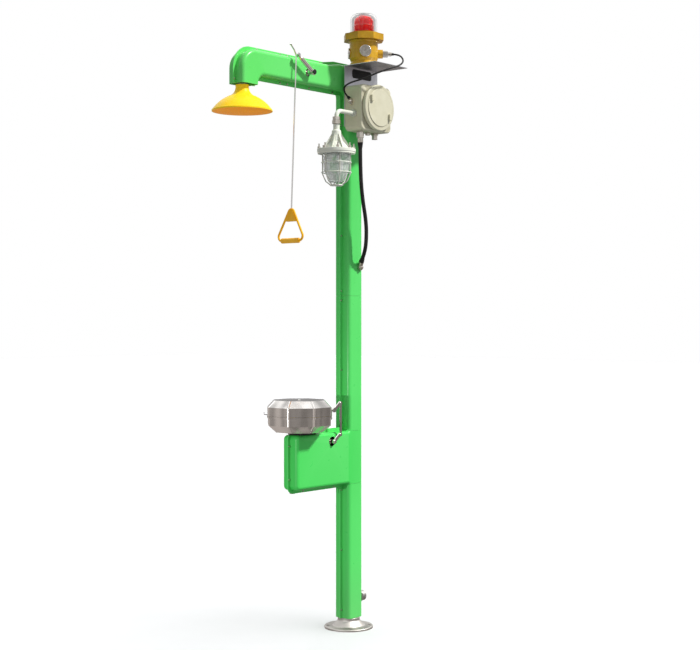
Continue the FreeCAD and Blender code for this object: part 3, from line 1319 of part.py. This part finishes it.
# ---------------------------------------------------------------- free cables
def cord_solid(route, diameter):
    """A cable of straight runs joined by tangent arcs. Prints its radii and its length."""
    points = [at(*corner) for corner in route]
    edges = []
    previous = points[0]
    length = 0.0
    radii = []
    for index in range(1, len(points) - 1):
        here = points[index]
        before = (points[index - 1] - here)
        after = (points[index + 1] - here)
        shorter = min(before.Length, after.Length)
        before.normalize()
        after.normalize()
        half_turn = (math.pi - before.getAngle(after)) / 2
        setback = CORD_ARC_SHARE * shorter
        radius = setback / math.tan(half_turn)
        bisector = (before + after).normalize()
        enter = here + before * setback
        leave = here + after * setback
        middle = here + bisector * (radius / math.cos(half_turn) - radius)
        edges.append(Part.makeLine(previous, enter))
        edges.append(Part.Arc(enter, middle, leave).toShape())
        length += (enter - previous).Length + radius * 2 * half_turn
        previous = leave
        radii.append(round(radius, 1))
    edges.append(Part.makeLine(previous, points[-1]))
    length += (points[-1] - previous).Length
    path = Part.Wire(edges)
    section = Part.Wire(Part.makeCircle(diameter / 2, points[0], points[1] - points[0]))
    pipe = path.makePipeShell([section], True, False)
    expected = math.pi * diameter ** 2 / 4 * length
    print("length", round(length, 1), "radii", radii, "volume ratio", round(pipe.Volume / expected, 4))
    return pipe


def cords():
    """Conduit to the column and cable from the beacon to the junction box."""
    save("conduit", cord_solid(CONDUIT_ROUTE, CONDUIT_DIAMETER))
    save("beacon_cable", cord_solid(BEACON_CABLE_ROUTE, BEACON_CABLE_DIAMETER))


casing_shells()
cover_screws()
floor_flange()
riser_pipes()
pipe_fittings()
inlet()
arm_pipes()
insulation()
heat_trace_cable()
shower_head()
shower_face()
shower_seats = shower_valve()
eyewash_bowl()
bowl_cover()
hinge_crank()
eyewash_seats = eyewash_valve()
save("valve_seats", group([shower_seats, eyewash_seats]))
branch_pipes()
spray_yoke()
spray_nozzles()
bowl_seat()
bowl_drain()
bracket()
bracket_clamps()
junction_box()
gland_nodes()
beacon()
save("blanking_plugs", group(box_plugs() + beacon_plugs()))
lamp()
cords()
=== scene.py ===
import json
import math
import bmesh
import bpy
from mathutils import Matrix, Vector


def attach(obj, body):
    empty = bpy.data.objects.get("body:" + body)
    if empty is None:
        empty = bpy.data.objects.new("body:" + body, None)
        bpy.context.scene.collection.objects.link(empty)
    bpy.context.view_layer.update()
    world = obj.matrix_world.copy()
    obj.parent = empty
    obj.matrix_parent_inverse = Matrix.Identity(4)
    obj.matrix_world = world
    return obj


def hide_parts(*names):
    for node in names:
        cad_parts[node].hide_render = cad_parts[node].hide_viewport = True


# Looks of the combination emergency shower and eyewash station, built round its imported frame.
# Places and sizes are in metres, in the frame of the station.
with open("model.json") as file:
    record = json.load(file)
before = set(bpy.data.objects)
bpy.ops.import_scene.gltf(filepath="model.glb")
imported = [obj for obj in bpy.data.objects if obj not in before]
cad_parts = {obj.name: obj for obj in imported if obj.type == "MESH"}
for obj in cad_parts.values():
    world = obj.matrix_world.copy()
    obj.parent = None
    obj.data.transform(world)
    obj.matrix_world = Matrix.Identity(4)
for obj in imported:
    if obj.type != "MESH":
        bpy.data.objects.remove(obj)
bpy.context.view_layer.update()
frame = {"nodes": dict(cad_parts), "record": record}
NODES = frame["nodes"]
STATION = "station"

# Camera: its place in metres, and the picture it is set up for
CAMERA_AZIMUTH = 40.0
CAMERA_DISTANCE = 5.88
CAMERA_HEIGHT = 1.31
FOCAL_LENGTH = 72.0
SENSOR_WIDTH = 36.0
FRAMING_SHIFT = (0.0019, -0.0143)

# Light: where each lamp stands or shines from, how wide it is in degrees, and its strength
KEY_TOWARDS = (0.60, 0.31, 0.73)
KEY_ANGLE = 5.0
KEY_STRENGTH = 4.2
FLOOR_LIGHT_TOWARDS = (0.25, 0.15, 1.0)
FLOOR_LIGHT_ANGLE = 70.0
FLOOR_LIGHT_STRENGTH = 2.6
LOW_FILL_PLACE = (0.2, -4.0, 0.9)
LOW_FILL_TOWARDS = (0.2, -4.0, 0.45)
LOW_FILL_CONE = 36.0
LOW_FILL_POWER = 190.0
AMBIENT = 0.44
FLOOR_SIZE = 60.0

# What polished metal mirrors: pale panels and darker gaps round the room, as (turn from 0 to 1,
# brightness), and the tint from straight below (0) to straight above (1)
ROOM_PANELS = [
    (0.00, 1.00), (0.05, 0.30), (0.10, 1.10), (0.15, 0.26), (0.21, 1.15), (0.27, 0.30),
    (0.33, 1.00), (0.39, 0.24), (0.46, 1.20), (0.52, 0.30), (0.58, 1.05), (0.64, 0.22),
    (0.70, 0.95), (0.75, 0.24), (0.81, 1.20), (0.86, 0.30), (0.93, 1.05),
]
ROOM_TINTS = [
    (0.0, (0.40, 0.36, 0.34)), (0.46, (0.66, 0.60, 0.56)),
    (0.54, (0.85, 0.85, 0.86)), (0.78, (1.7, 1.7, 1.7)),
]

# Routes of the two free cables, as (x, y, z) in metres, the same corners as the solids
CONDUIT_DIAMETER = 0.016
CONDUIT_ROUTE = [
    (0.1030, -0.0480, 2.0200),
    (0.1030, -0.0480, 1.9100),
    (0.1010, -0.0340, 1.8000),
    (0.1005, -0.0050, 1.6900),
    (0.0992, -0.0049, 1.6080),
    (0.0834, 0.0009, 1.5630),
    (0.0594, 0.0117, 1.5330),
]
BEACON_CABLE_DIAMETER = 0.007
BEACON_CABLE_ROUTE = [
    (0.2000, 0.0380, 2.3862),
    (0.2220, 0.0600, 2.3862),
    (0.2400, 0.0690, 2.3622),
    (0.2450, 0.0420, 2.3372),
    (0.2370, -0.0080, 2.3210),
    (0.2050, -0.0660, 2.2950),
    (0.1650, -0.1070, 2.2700),
    (0.1240, -0.1420, 2.2550),
    (0.1000, -0.1520, 2.2370),
    (0.0970, -0.1382, 2.2110),
    (0.0970, -0.1130, 2.1988),
]

# Every noise texture's roughness, from smooth (0) to coarse (1)
NOISE_ROUGHNESS = 0.55

# Small turned pieces: how they are faceted, how close a boot lies round its cable and how far it
# reaches over its gland, and the places of the lens's foot, the lever hub's end and the side gland
TURNED_SIDES = 48
SHARP_ANGLE = 32.0
BORE_GAP = 0.0001
BOOT_OVERLAP = 0.0015
LENS_FOOT = (0.1180, -0.0440, 2.4376)
LEVER_HUB = (0.0755, -0.3020, 2.2830)
BOX_GLAND = (0.0970, -0.0970, 2.1840)

# Ribs round the lens: how many, their pitch and depth, the wall they stand on, the lowest's foot
LENS_RIBS = 14
LENS_RIB_PITCH = 0.004
LENS_RIB_DEPTH = 0.0016
LENS_RADIUS = 0.0411
LENS_RIBS_START = 0.008


# ---------------------------------------------------------------- node helpers
def colour_ramp(tree, value, stops):
    """A colour ramp of a value, through (position, colour) stops."""
    node = tree.nodes.new("ShaderNodeValToRGB")
    elements = node.color_ramp.elements
    while len(elements) < len(stops):
        elements.new(0.5)
    for element, (position, colour) in zip(elements, stops):
        element.position = position
        element.color = (*colour, 1.0)
    tree.links.new(value, node.inputs["Fac"])
    return node.outputs["Color"]


class Shader:
    """A material with its principled shader and short ways to add nodes to it."""

    def __init__(self, name):
        self.material = bpy.data.materials.new(name)
        self.material.use_nodes = True
        self.tree = self.material.node_tree
        self.bsdf = self.tree.nodes["Principled BSDF"]
        self.coords = self.tree.nodes.new("ShaderNodeTexCoord")

    def set(self, **values):
        """Set plain numbers or colours on the shader's own sockets."""
        for key, value in values.items():
            self.bsdf.inputs[key.replace("_", " ")].default_value = value

    def link(self, source, target):
        self.tree.links.new(source, target)

    def mapping(self, scale):
        """Object coordinates stretched by scale."""
        node = self.tree.nodes.new("ShaderNodeMapping")
        node.inputs["Scale"].default_value = scale
        self.link(self.coords.outputs["Object"], node.inputs["Vector"])
        return node.outputs["Vector"]

    def noise(self, scale, detail=4.0, stretch=(1, 1, 1)):
        """Fractal noise, in cycles per metre."""
        node = self.tree.nodes.new("ShaderNodeTexNoise")
        node.inputs["Scale"].default_value = scale
        node.inputs["Detail"].default_value = detail
        node.inputs["Roughness"].default_value = NOISE_ROUGHNESS
        self.link(self.mapping(stretch), node.inputs["Vector"])
        return node.outputs["Fac"]

    def cells(self, scale):
        """Distance to the nearest random point, for cast or pebbled surfaces."""
        node = self.tree.nodes.new("ShaderNodeTexVoronoi")
        node.inputs["Scale"].default_value = scale
        self.link(self.coords.outputs["Object"], node.inputs["Vector"])
        return node.outputs["Distance"]

    def ramp(self, value, stops):
        """A colour ramp through (position, colour) stops."""
        return colour_ramp(self.tree, value, stops)

    def range(self, value, low, high):
        """Map a 0 to 1 value to low to high."""
        node = self.tree.nodes.new("ShaderNodeMapRange")
        node.inputs["To Min"].default_value = low
        node.inputs["To Max"].default_value = high
        self.link(value, node.inputs["Value"])
        return node.outputs["Result"]

    def mix(self, factor, first, second, blend="MIX"):
        """Mix two colours by a factor, which may be a number or a socket."""
        node = self.tree.nodes.new("ShaderNodeMix")
        node.data_type = "RGBA"
        node.blend_type = blend
        if isinstance(factor, float):
            node.inputs["Factor"].default_value = factor
        else:
            self.link(factor, node.inputs["Factor"])
        for socket, value in ((node.inputs[6], first), (node.inputs[7], second)):
            if isinstance(value, tuple):
                socket.default_value = (*value, 1.0)
            else:
                self.link(value, socket)
        return node.outputs[2]

    def edges(self):
        """Bright on convex edges and dark in hollows."""
        node = self.tree.nodes.new("ShaderNodeNewGeometry")
        return node.outputs["Pointiness"]

    def height_band(self, low, high):
        """0 below one height of the object's own frame, 1 above another."""
        split = self.tree.nodes.new("ShaderNodeSeparateXYZ")
        self.link(self.coords.outputs["Object"], split.inputs["Vector"])
        node = self.tree.nodes.new("ShaderNodeMapRange")
        node.inputs["From Min"].default_value = low
        node.inputs["From Max"].default_value = high
        self.link(split.outputs["Z"], node.inputs["Value"])
        return node.outputs["Result"]

    def colour(self, value):
        self.link(value, self.bsdf.inputs["Base Color"])

    def rough(self, value):
        self.link(value, self.bsdf.inputs["Roughness"])

    def bump(self, layers):
        """Stack (height, strength, distance in metres) layers into the normal."""
        previous = None
        for height, strength, distance in layers:
            node = self.tree.nodes.new("ShaderNodeBump")
            node.inputs["Strength"].default_value = strength
            node.inputs["Distance"].default_value = distance
            self.link(height, node.inputs["Height"])
            if previous:
                self.link(previous, node.inputs["Normal"])
            previous = node.outputs["Normal"]
        self.link(previous, self.bsdf.inputs["Normal"])


# ---------------------------------------------------------------- materials
def green_casing():
    """Glossy moulded green shell, faint orange peel: painted light up at the arm and on edges,
    darker near the floor.
    """
    s = Shader("green_casing")
    cloud = s.noise(2.2, 5.0)
    low_body = s.ramp(cloud, [(0.3, (0.048, 0.590, 0.090)), (0.7, (0.064, 0.650, 0.112))])
    # painted light: paler up at the arm, where the shell is more brightly lit
    painted_light_high = s.range(s.height_band(1.95, 2.25), 0.0, 0.85)
    body = s.mix(painted_light_high, low_body, (0.120, 0.700, 0.135))
    # painted highlight: paler colour on convex edges
    edge = s.ramp(s.edges(), [(0.50, (0.0, 0.0, 0.0)), (0.62, (1.0, 1.0, 1.0))])
    edge_highlight = s.mix(s.range(edge, 0.0, 0.30), body, (0.22, 0.80, 0.26))
    # darker towards the bottom, near the floor
    darker_low = s.mix(s.range(s.height_band(0.02, 0.30), 0.26, 0.0), edge_highlight, (0.16, 0.33, 0.14))
    speckle = s.ramp(s.noise(240.0, 2.0), [(0.66, (1.0, 1.0, 1.0)), (0.80, (0.90, 0.95, 0.88))])
    s.colour(s.mix(0.5, darker_low, speckle, "MULTIPLY"))
    s.rough(s.range(s.noise(26.0, 6.0), 0.24, 0.34))
    s.set(Specular_IOR_Level=0.30, Coat_Weight=0.06, Coat_Roughness=0.12)
    s.bump([(s.noise(420.0, 2.0), 0.05, 0.0003), (s.noise(6.0, 2.0), 0.05, 0.003)])
    return s.material


def brushed(name, colour, low, high, stretch, grain, ripple):
    """Brushed or drawn metal with its grain along one direction, in gently rippled sheet."""
    s = Shader(name)
    dark = tuple(0.80 * channel for channel in colour)
    streak = s.noise(grain, 3.0, stretch)
    stain = s.noise(7.0, 6.0)
    base = s.mix(s.range(streak, 0.0, 0.55), colour, dark)
    s.colour(s.mix(s.range(stain, 0.0, 0.22), base, tuple(0.72 * channel for channel in colour)))
    s.rough(s.range(s.noise(60.0, 5.0, stretch), low, high))
    s.set(Metallic=1.0, Anisotropic=0.35)
    waves = s.noise(12.0, 1.0, (1.0, 1.0, 0.15))
    s.bump([(streak, 0.06, 0.0002), (waves, ripple, 0.009)])
    return s.material


def plated():
    """Bright plated brass or zinc, a little dulled."""
    s = Shader("plated")
    wear = s.noise(55.0, 6.0)
    s.colour(s.ramp(wear, [(0.35, (0.62, 0.60, 0.55)), (0.72, (0.44, 0.40, 0.34))]))
    s.rough(s.range(s.noise(120.0, 4.0), 0.16, 0.34))
    s.set(Metallic=1.0)
    s.bump([(s.noise(300.0, 3.0), 0.08, 0.0003)])
    return s.material


def coloured_plastic(name, light, dark, painted_glow):
    """Coloured ABS of the shower head and nozzles, with a painted glow standing for light through
    its thin walls.
    """
    s = Shader(name)
    tone = s.ramp(s.noise(18.0, 4.0), [(0.3, dark), (0.7, light)])
    s.colour(tone)
    s.rough(s.range(s.noise(90.0, 4.0), 0.30, 0.44))
    # painted glow: the colour also glows, brightening the shaded sides
    s.link(tone, s.bsdf.inputs["Emission Color"])
    s.set(Specular_IOR_Level=0.12, Emission_Strength=painted_glow)
    s.bump([(s.noise(500.0, 2.0), 0.05, 0.0004)])
    return s.material


def coated_handle():
    """Thick yellow coating on the pull handle, scuffed on its raised places, with a painted glow.
    """
    s = Shader("coated_handle")
    coat = s.ramp(s.noise(35.0, 5.0), [(0.3, (0.74, 0.36, 0.010)), (0.7, (0.84, 0.44, 0.016))])
    scuff = s.ramp(s.edges(), [(0.52, (0.0, 0.0, 0.0)), (0.62, (1.0, 1.0, 1.0))])
    s.colour(s.mix(s.range(scuff, 0.0, 0.25), coat, (0.70, 0.50, 0.16)))
    s.rough(s.range(s.noise(140.0, 4.0), 0.38, 0.54))
    # painted glow: the coating glows a little, brightening its shaded sides
    s.link(coat, s.bsdf.inputs["Emission Color"])
    s.set(Specular_IOR_Level=0.15, Emission_Strength=0.22)
    s.bump([(s.noise(380.0, 3.0), 0.10, 0.0004)])
    return s.material


def cast_paint(name, light, dark, rough_low=0.36, rough_high=0.52):
    """Painted casting: pebbled skin, darker in hollows and paler on raised edges."""
    s = Shader(name)
    tone = s.ramp(s.noise(20.0, 6.0), [(0.3, dark), (0.7, light)])
    hollow, flat, raised = (0.62, 0.60, 0.55), (1.0, 1.0, 1.0), (1.10, 1.08, 1.04)
    # darker in hollows and paler on raised edges
    edge = s.ramp(s.edges(), [(0.42, hollow), (0.50, flat), (0.60, raised)])
    s.colour(s.mix(0.7, tone, edge, "MULTIPLY"))
    s.rough(s.range(s.noise(75.0, 4.0), rough_low, rough_high))
    s.set(Specular_IOR_Level=0.28)
    s.bump([(s.cells(520.0), 0.12, 0.0005), (s.noise(60.0, 4.0), 0.08, 0.001)])
    return s.material


def clear_glass(name, tint, frost, index, weight):
    """Clear moulded glass or polycarbonate with faint waves and a little dust."""
    s = Shader(name)
    dust = s.noise(80.0, 6.0)
    s.colour(s.ramp(dust, [(0.4, tint), (0.85, tuple(0.9 * channel for channel in tint))]))
    s.rough(s.range(dust, frost, frost + 0.07))
    s.set(Transmission_Weight=weight, IOR=index)
    s.bump([(s.noise(22.0, 2.0), 0.06, 0.003)])
    return s.material


def red_lens():
    """Deep red moulded lens with a faint painted glow, standing for light passing through its
    ribs.
    """
    s = Shader("red_lens")
    deep, bright = (0.46, 0.0008, 0.0015), (0.60, 0.002, 0.003)
    s.colour(s.ramp(s.noise(30.0, 3.0), [(0.3, deep), (0.7, bright)]))
    s.rough(s.range(s.noise(90.0, 3.0), 0.12, 0.24))
    s.set(Coat_Weight=0.5, Coat_Roughness=0.05)
    # painted glow: a faint glow standing for light passing through the ribs
    s.set(Emission_Color=(0.75, 0.002, 0.004, 1.0), Emission_Strength=0.06)
    s.bump([(s.noise(260.0, 2.0), 0.05, 0.0004)])
    return s.material


def black_rubber():
    """Dull black rubber or PVC, greyer where it has weathered."""
    s = Shader("black_rubber")
    fresh, weathered = (0.008, 0.008, 0.009), (0.022, 0.022, 0.021)
    s.colour(s.ramp(s.noise(45.0, 5.0), [(0.3, fresh), (0.75, weathered)]))
    s.rough(s.range(s.noise(160.0, 4.0), 0.40, 0.58))
    s.set(Specular_IOR_Level=0.25)
    s.bump([(s.noise(700.0, 3.0), 0.12, 0.0004)])
    return s.material


def moulded(name, light, dark, roughness):
    """Plain moulded plastic, foam or board, with a fine grain."""
    s = Shader(name)
    s.colour(s.ramp(s.noise(60.0, 5.0), [(0.3, dark), (0.7, light)]))
    s.rough(s.range(s.noise(180.0, 4.0), roughness - 0.08, roughness + 0.08))
    s.bump([(s.noise(420.0, 4.0), 0.2, 0.0006)])
    return s.material


def make_materials():
    """One material for each kind of surface on the object."""
    lengthwise, across, short = (1.0, 1.0, 0.02), (0.02, 0.02, 1.0), (1.0, 1.0, 0.1)
    white, dusty_white = (0.86, 0.85, 0.80), (0.76, 0.75, 0.70)
    yellow, deep_yellow = (0.96, 0.66, 0.020), (0.92, 0.58, 0.014)
    face_shade_light, face_shade_dark = (0.86, 0.32, 0.006), (0.80, 0.27, 0.004)
    mustard, dark_mustard = (0.66, 0.38, 0.026), (0.48, 0.26, 0.016)
    steel, blue_steel = (0.84, 0.82, 0.80), (0.62, 0.63, 0.68)
    dull_steel, grey_steel = (0.50, 0.48, 0.455), (0.48, 0.48, 0.47)
    return {
        "green_casing": green_casing(),
        "stainless": brushed("stainless", steel, 0.09, 0.18, across, 900.0, 0.72),
        "bracket_steel": brushed("bracket_steel", blue_steel, 0.30, 0.46, across, 1200.0, 0.06),
        "flange_steel": brushed("flange_steel", dull_steel, 0.38, 0.54, short, 500.0, 0.05),
        "pipe_steel": brushed("pipe_steel", grey_steel, 0.32, 0.52, lengthwise, 700.0, 0.06),
        "plated": plated(),
        "seal": moulded("seal", white, dusty_white, 0.5),
        "foam": moulded("foam", (0.80, 0.72, 0.46), (0.66, 0.58, 0.34), 0.9),
        "black_rubber": black_rubber(),
        "cream": moulded("cream", (0.74, 0.68, 0.46), (0.62, 0.56, 0.36), 0.4),
        "yellow_plastic": coloured_plastic("yellow_plastic", yellow, deep_yellow, 0.16),
        # painted shade: the shower face is the yellow plastic coloured as it looks in shade, with
        # a stronger painted glow
        "face_yellow_in_painted_shade": coloured_plastic("face_yellow_in_painted_shade", face_shade_light, face_shade_dark, 0.42),
        "handle_yellow": coated_handle(),
        "cast_grey": cast_paint("cast_grey", (0.66, 0.64, 0.50), (0.58, 0.56, 0.42)),
        "cast_yellow": cast_paint("cast_yellow", mustard, dark_mustard, 0.20, 0.34),
        "lamp_grey": cast_paint("lamp_grey", (0.82, 0.84, 0.77), (0.72, 0.75, 0.67)),
        "glass": clear_glass("glass", (1.0, 1.0, 1.0), 0.012, 1.12, 1.0),
        "lamp_glass": clear_glass("lamp_glass", (0.96, 0.98, 0.97), 0.22, 1.3, 0.80),
        "red_lens": red_lens(),
        "board": moulded("board", (0.84, 0.83, 0.78), (0.74, 0.74, 0.70), 0.45),
        "terminal": moulded("terminal", (0.50, 0.51, 0.49), (0.42, 0.43, 0.41), 0.4),
    }


MATERIALS = make_materials()
SPECIAL_NODES = {
    "bracket": "bracket_steel",
    "lamp_glass": "lamp_glass",
    "shower_face": "face_yellow_in_painted_shade",
}


def dress(obj, material):
    """Give an object one material in every slot."""
    obj.data.materials.clear()
    obj.data.materials.append(MATERIALS[material])


def dress_cad_nodes():
    """Give every carried-over CAD node its special material, or that of its slot."""
    for subpart in frame["record"]["subparts"]:
        node = subpart["node"]
        dress(NODES[node], SPECIAL_NODES.get(node, subpart["material_slot"]))


# ---------------------------------------------------------------- camera, light and stage
def camera():
    """The camera that frames the whole station from its front right."""
    turn = math.radians(CAMERA_AZIMUTH)
    data = bpy.data.cameras.new("camera")
    data.lens = FOCAL_LENGTH
    data.sensor_width = SENSOR_WIDTH
    data.shift_x, data.shift_y = FRAMING_SHIFT
    obj = bpy.data.objects.new("camera", data)
    side, ahead = CAMERA_DISTANCE * math.sin(turn), CAMERA_DISTANCE * math.cos(turn)
    obj.location = (side, -ahead, CAMERA_HEIGHT)
    obj.rotation_euler = (math.radians(90), 0, turn)
    bpy.context.scene.collection.objects.link(obj)
    bpy.context.scene.camera = obj


def light(kind, name, towards, energy, **settings):
    """A lamp whose light comes from the direction towards."""
    data = bpy.data.lights.new(name, kind)
    data.energy = energy
    for key, value in settings.items():
        setattr(data, key, value)
    obj = bpy.data.objects.new(name, data)
    obj.rotation_euler = Vector(towards).to_track_quat("Z", "Y").to_euler()
    bpy.context.scene.collection.objects.link(obj)
    return obj


def aim(lamp, obj, state):
    """Let a light reach only an object ("INCLUDE"), or everything but it ("EXCLUDE")."""
    group = bpy.data.collections.new(lamp.name + "_receivers")
    group.objects.link(obj)
    lamp.light_linking.receiver_collection = group
    group.collection_objects[0].light_linking.link_state = state


def reflected_room(tree):
    """The world that reflections see: the room's panels, bright above and warm below."""
    coords = tree.nodes.new("ShaderNodeTexCoord")
    turn = tree.nodes.new("ShaderNodeTexGradient")
    turn.gradient_type = "RADIAL"
    tree.links.new(coords.outputs["Generated"], turn.inputs["Vector"])
    stops = [(place, (level, level * 0.99, level * 0.98)) for place, level in ROOM_PANELS]
    panels = colour_ramp(tree, turn.outputs["Fac"], stops)
    split = tree.nodes.new("ShaderNodeSeparateXYZ")
    tree.links.new(coords.outputs["Generated"], split.inputs["Vector"])
    height = tree.nodes.new("ShaderNodeMapRange")
    height.inputs["From Min"].default_value = -1.0
    tree.links.new(split.outputs["Z"], height.inputs["Value"])
    tint = colour_ramp(tree, height.outputs["Result"], ROOM_TINTS)
    mix = tree.nodes.new("ShaderNodeMix")
    mix.data_type = "RGBA"
    mix.blend_type = "MULTIPLY"
    mix.inputs["Factor"].default_value = 1.0
    tree.links.new(panels, mix.inputs[6])
    tree.links.new(tint, mix.inputs[7])
    background = tree.nodes.new("ShaderNodeBackground")
    tree.links.new(mix.outputs[2], background.inputs["Color"])
    return background


def surround():
    """A pale world: white to the camera, even and softer as light, panelled in reflections."""
    world = bpy.data.worlds.new("studio")
    world.use_nodes = True
    tree = world.node_tree
    even = tree.nodes["Background"]
    even.inputs["Color"].default_value = (0.95, 0.97, 1.0, 1.0)
    even.inputs["Strength"].default_value = AMBIENT
    seen = tree.nodes.new("ShaderNodeBackground")
    seen.inputs["Color"].default_value = (1.0, 1.0, 1.0, 1.0)
    seen.inputs["Strength"].default_value = 1.0
    path = tree.nodes.new("ShaderNodeLightPath")
    previous = even
    for ray, surface in (("Is Glossy Ray", reflected_room(tree)), ("Is Camera Ray", seen)):
        mixer = tree.nodes.new("ShaderNodeMixShader")
        tree.links.new(path.outputs[ray], mixer.inputs["Fac"])
        tree.links.new(previous.outputs[0], mixer.inputs[1])
        tree.links.new(surface.outputs[0], mixer.inputs[2])
        previous = mixer
    tree.links.new(previous.outputs[0], tree.nodes["World Output"].inputs["Surface"])
    bpy.context.scene.world = world
    bpy.context.scene.view_settings.view_transform = "Standard"


def pale_floor():
    """A plain pale floor that adds no bounce and no reflection to the object."""
    look = Shader("floor")
    look.colour(look.ramp(look.noise(1.5, 4.0), [(0.3, (0.86,) * 3), (0.7, (0.90,) * 3)]))
    look.set(Roughness=0.9)
    bpy.ops.mesh.primitive_plane_add(size=FLOOR_SIZE, location=(0, 0, 0))
    floor = bpy.context.object
    floor.name = "floor"
    floor.data.materials.append(look.material)
    floor.visible_diffuse = False
    floor.visible_glossy = False
    return floor


def studio():
    """An even surround, a soft key and a low fill for the object, and a light for the floor."""
    surround()
    floor = pale_floor()
    key = light("SUN", "key", KEY_TOWARDS, KEY_STRENGTH,
                angle=math.radians(KEY_ANGLE), color=(1.0, 0.98, 0.94))
    aim(key, floor, "EXCLUDE")
    overhead = light("SUN", "floor_light", FLOOR_LIGHT_TOWARDS, FLOOR_LIGHT_STRENGTH,
                     angle=math.radians(FLOOR_LIGHT_ANGLE))
    aim(overhead, floor, "INCLUDE")
    low_fill = light("SPOT", "low_fill", LOW_FILL_TOWARDS, LOW_FILL_POWER,
                     spot_size=math.radians(LOW_FILL_CONE), spot_blend=1.0)
    low_fill.location = LOW_FILL_PLACE
    aim(low_fill, floor, "EXCLUDE")


# ---------------------------------------------------------------- free cables
def cord_curve(name, route, diameter):
    """A smooth NURBS cable through its given route."""
    curve = bpy.data.curves.new(name, "CURVE")
    curve.dimensions = "3D"
    curve.bevel_depth = diameter / 2
    curve.bevel_resolution = 8
    curve.use_fill_caps = True
    curve.resolution_u = 16
    spline = curve.splines.new("NURBS")
    spline.points.add(len(route) - 1)
    for point, place in zip(spline.points, route):
        point.co = (*place, 1.0)
    spline.order_u = 3
    spline.use_endpoint_u = True
    obj = bpy.data.objects.new(name, curve)
    bpy.context.scene.collection.objects.link(obj)
    return obj


def cables():
    """The conduit down to the column and the beacon's cable back to the junction box."""
    conduit = cord_curve("conduit_hose", CONDUIT_ROUTE, CONDUIT_DIAMETER)
    dress(conduit, "black_rubber")
    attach(conduit, STATION)
    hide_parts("conduit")
    cable = cord_curve("beacon_cord", BEACON_CABLE_ROUTE, BEACON_CABLE_DIAMETER)
    dress(cable, "black_rubber")
    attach(cable, STATION)
    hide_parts("beacon_cable")


# ---------------------------------------------------------------- small turned pieces
def turned(name, profile, place, direction, body, material):
    """A piece turned about the line from place: a closed outline of (distance, radius) points."""
    frame_turn = Vector(direction).to_track_quat("Z", "Y")
    mesh = bmesh.new()
    rings = []
    for distance, radius in profile:
        ring = []
        for step in range(TURNED_SIDES):
            angle = 2 * math.pi * step / TURNED_SIDES
            point = Vector((radius * math.cos(angle), radius * math.sin(angle), distance))
            ring.append(mesh.verts.new(Vector(place) + frame_turn @ point))
        rings.append(ring)
    for low, high in zip(rings, rings[1:] + rings[:1]):
        for step in range(TURNED_SIDES):
            after = (step + 1) % TURNED_SIDES
            mesh.faces.new((low[step], low[after], high[after], high[step]))
    bmesh.ops.recalc_face_normals(mesh, faces=mesh.faces)
    data = bpy.data.meshes.new(name)
    mesh.to_mesh(data)
    mesh.free()
    for face in data.polygons:
        face.use_smooth = True
    data.set_sharp_from_angle(angle=math.radians(SHARP_ANGLE))
    obj = bpy.data.objects.new(name, data)
    bpy.context.scene.collection.objects.link(obj)
    dress(obj, material)
    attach(obj, body)


def boot(name, place, towards, length, start, end, bore):
    """A tapered rubber sleeve with two grooves, where a cable leaves its gland."""
    middle = (start + end) / 2
    shares = [
        (0.30, start * 0.98), (0.33, start * 0.90), (0.40, start * 0.90),
        (0.43, middle), (0.62, middle * 0.98), (0.65, middle * 0.91), (0.72, middle * 0.91),
        (0.75, end * 1.05), (0.97, end), (1.0, end * 0.97), (1.0, bore),
    ]
    profile = [(-BOOT_OVERLAP, bore), (-BOOT_OVERLAP, start)]
    profile += [(length * share, radius) for share, radius in shares]
    direction = Vector(towards) - Vector(place)
    turned(name, profile, place, direction, STATION, "black_rubber")


def boots():
    """The strain reliefs at the four cable ends."""
    route, bore = CONDUIT_ROUTE, CONDUIT_DIAMETER / 2 + BORE_GAP
    boot("conduit_boot_top", route[0], route[1], 0.020, 0.0112, 0.0090, bore)
    boot("conduit_boot_low", route[-1], route[-2], 0.018, 0.0112, 0.0090, bore)
    route, bore = BEACON_CABLE_ROUTE, BEACON_CABLE_DIAMETER / 2 + BORE_GAP
    boot("cable_boot_beacon", route[0], route[1], 0.008, 0.0058, 0.0050, bore)
    boot("cable_boot_box", route[-1], route[-2], 0.008, 0.0070, 0.0052, bore)


def lens_ribs():
    """Fine horizontal prisms round the red lens, under the clear dome."""
    valley, crest = LENS_RADIUS + LENS_RIB_DEPTH * 0.2, LENS_RADIUS + LENS_RIB_DEPTH
    profile = [(LENS_RIBS_START, LENS_RADIUS)]
    for index in range(LENS_RIBS):
        start = LENS_RIBS_START + index * LENS_RIB_PITCH
        profile += [(start + LENS_RIB_PITCH * 0.1, valley), (start + LENS_RIB_PITCH * 0.5, crest)]
        profile += [(start + LENS_RIB_PITCH * 0.9, valley)]
    profile += [(LENS_RIBS_START + LENS_RIBS * LENS_RIB_PITCH, LENS_RADIUS)]
    turned("lens_ribs", profile, LENS_FOOT, (0, 0, 1), STATION, "red_lens")


def shade_disc_and_bush():
    """Black disc on the shower lever's hub, painted shade of its open end, and the cream bush of
    the box's side gland.
    """
    # painted shade: a black disc where the hub's open end shows only shade
    shade_disc_outline = [
        (0.0001, 0.0002), (0.0001, 0.0100), (0.0022, 0.0100),
        (0.0032, 0.0088), (0.0034, 0.0002),
    ]
    turned("lever_hub_shade_disc", shade_disc_outline, LEVER_HUB, (1, 0, 0), "shower_lever_body",
           "black_rubber")
    bush = [
        (0.0001, 0.0094), (0.0001, 0.0150), (0.0016, 0.0150),
        (0.0024, 0.0142), (0.0024, 0.0094),
    ]
    turned("gland_bush", bush, BOX_GLAND, (0, -1, 0), STATION, "cream")


camera()
cables()
boots()
lens_ribs()
shade_disc_and_bush()
studio()
dress_cad_nodes()
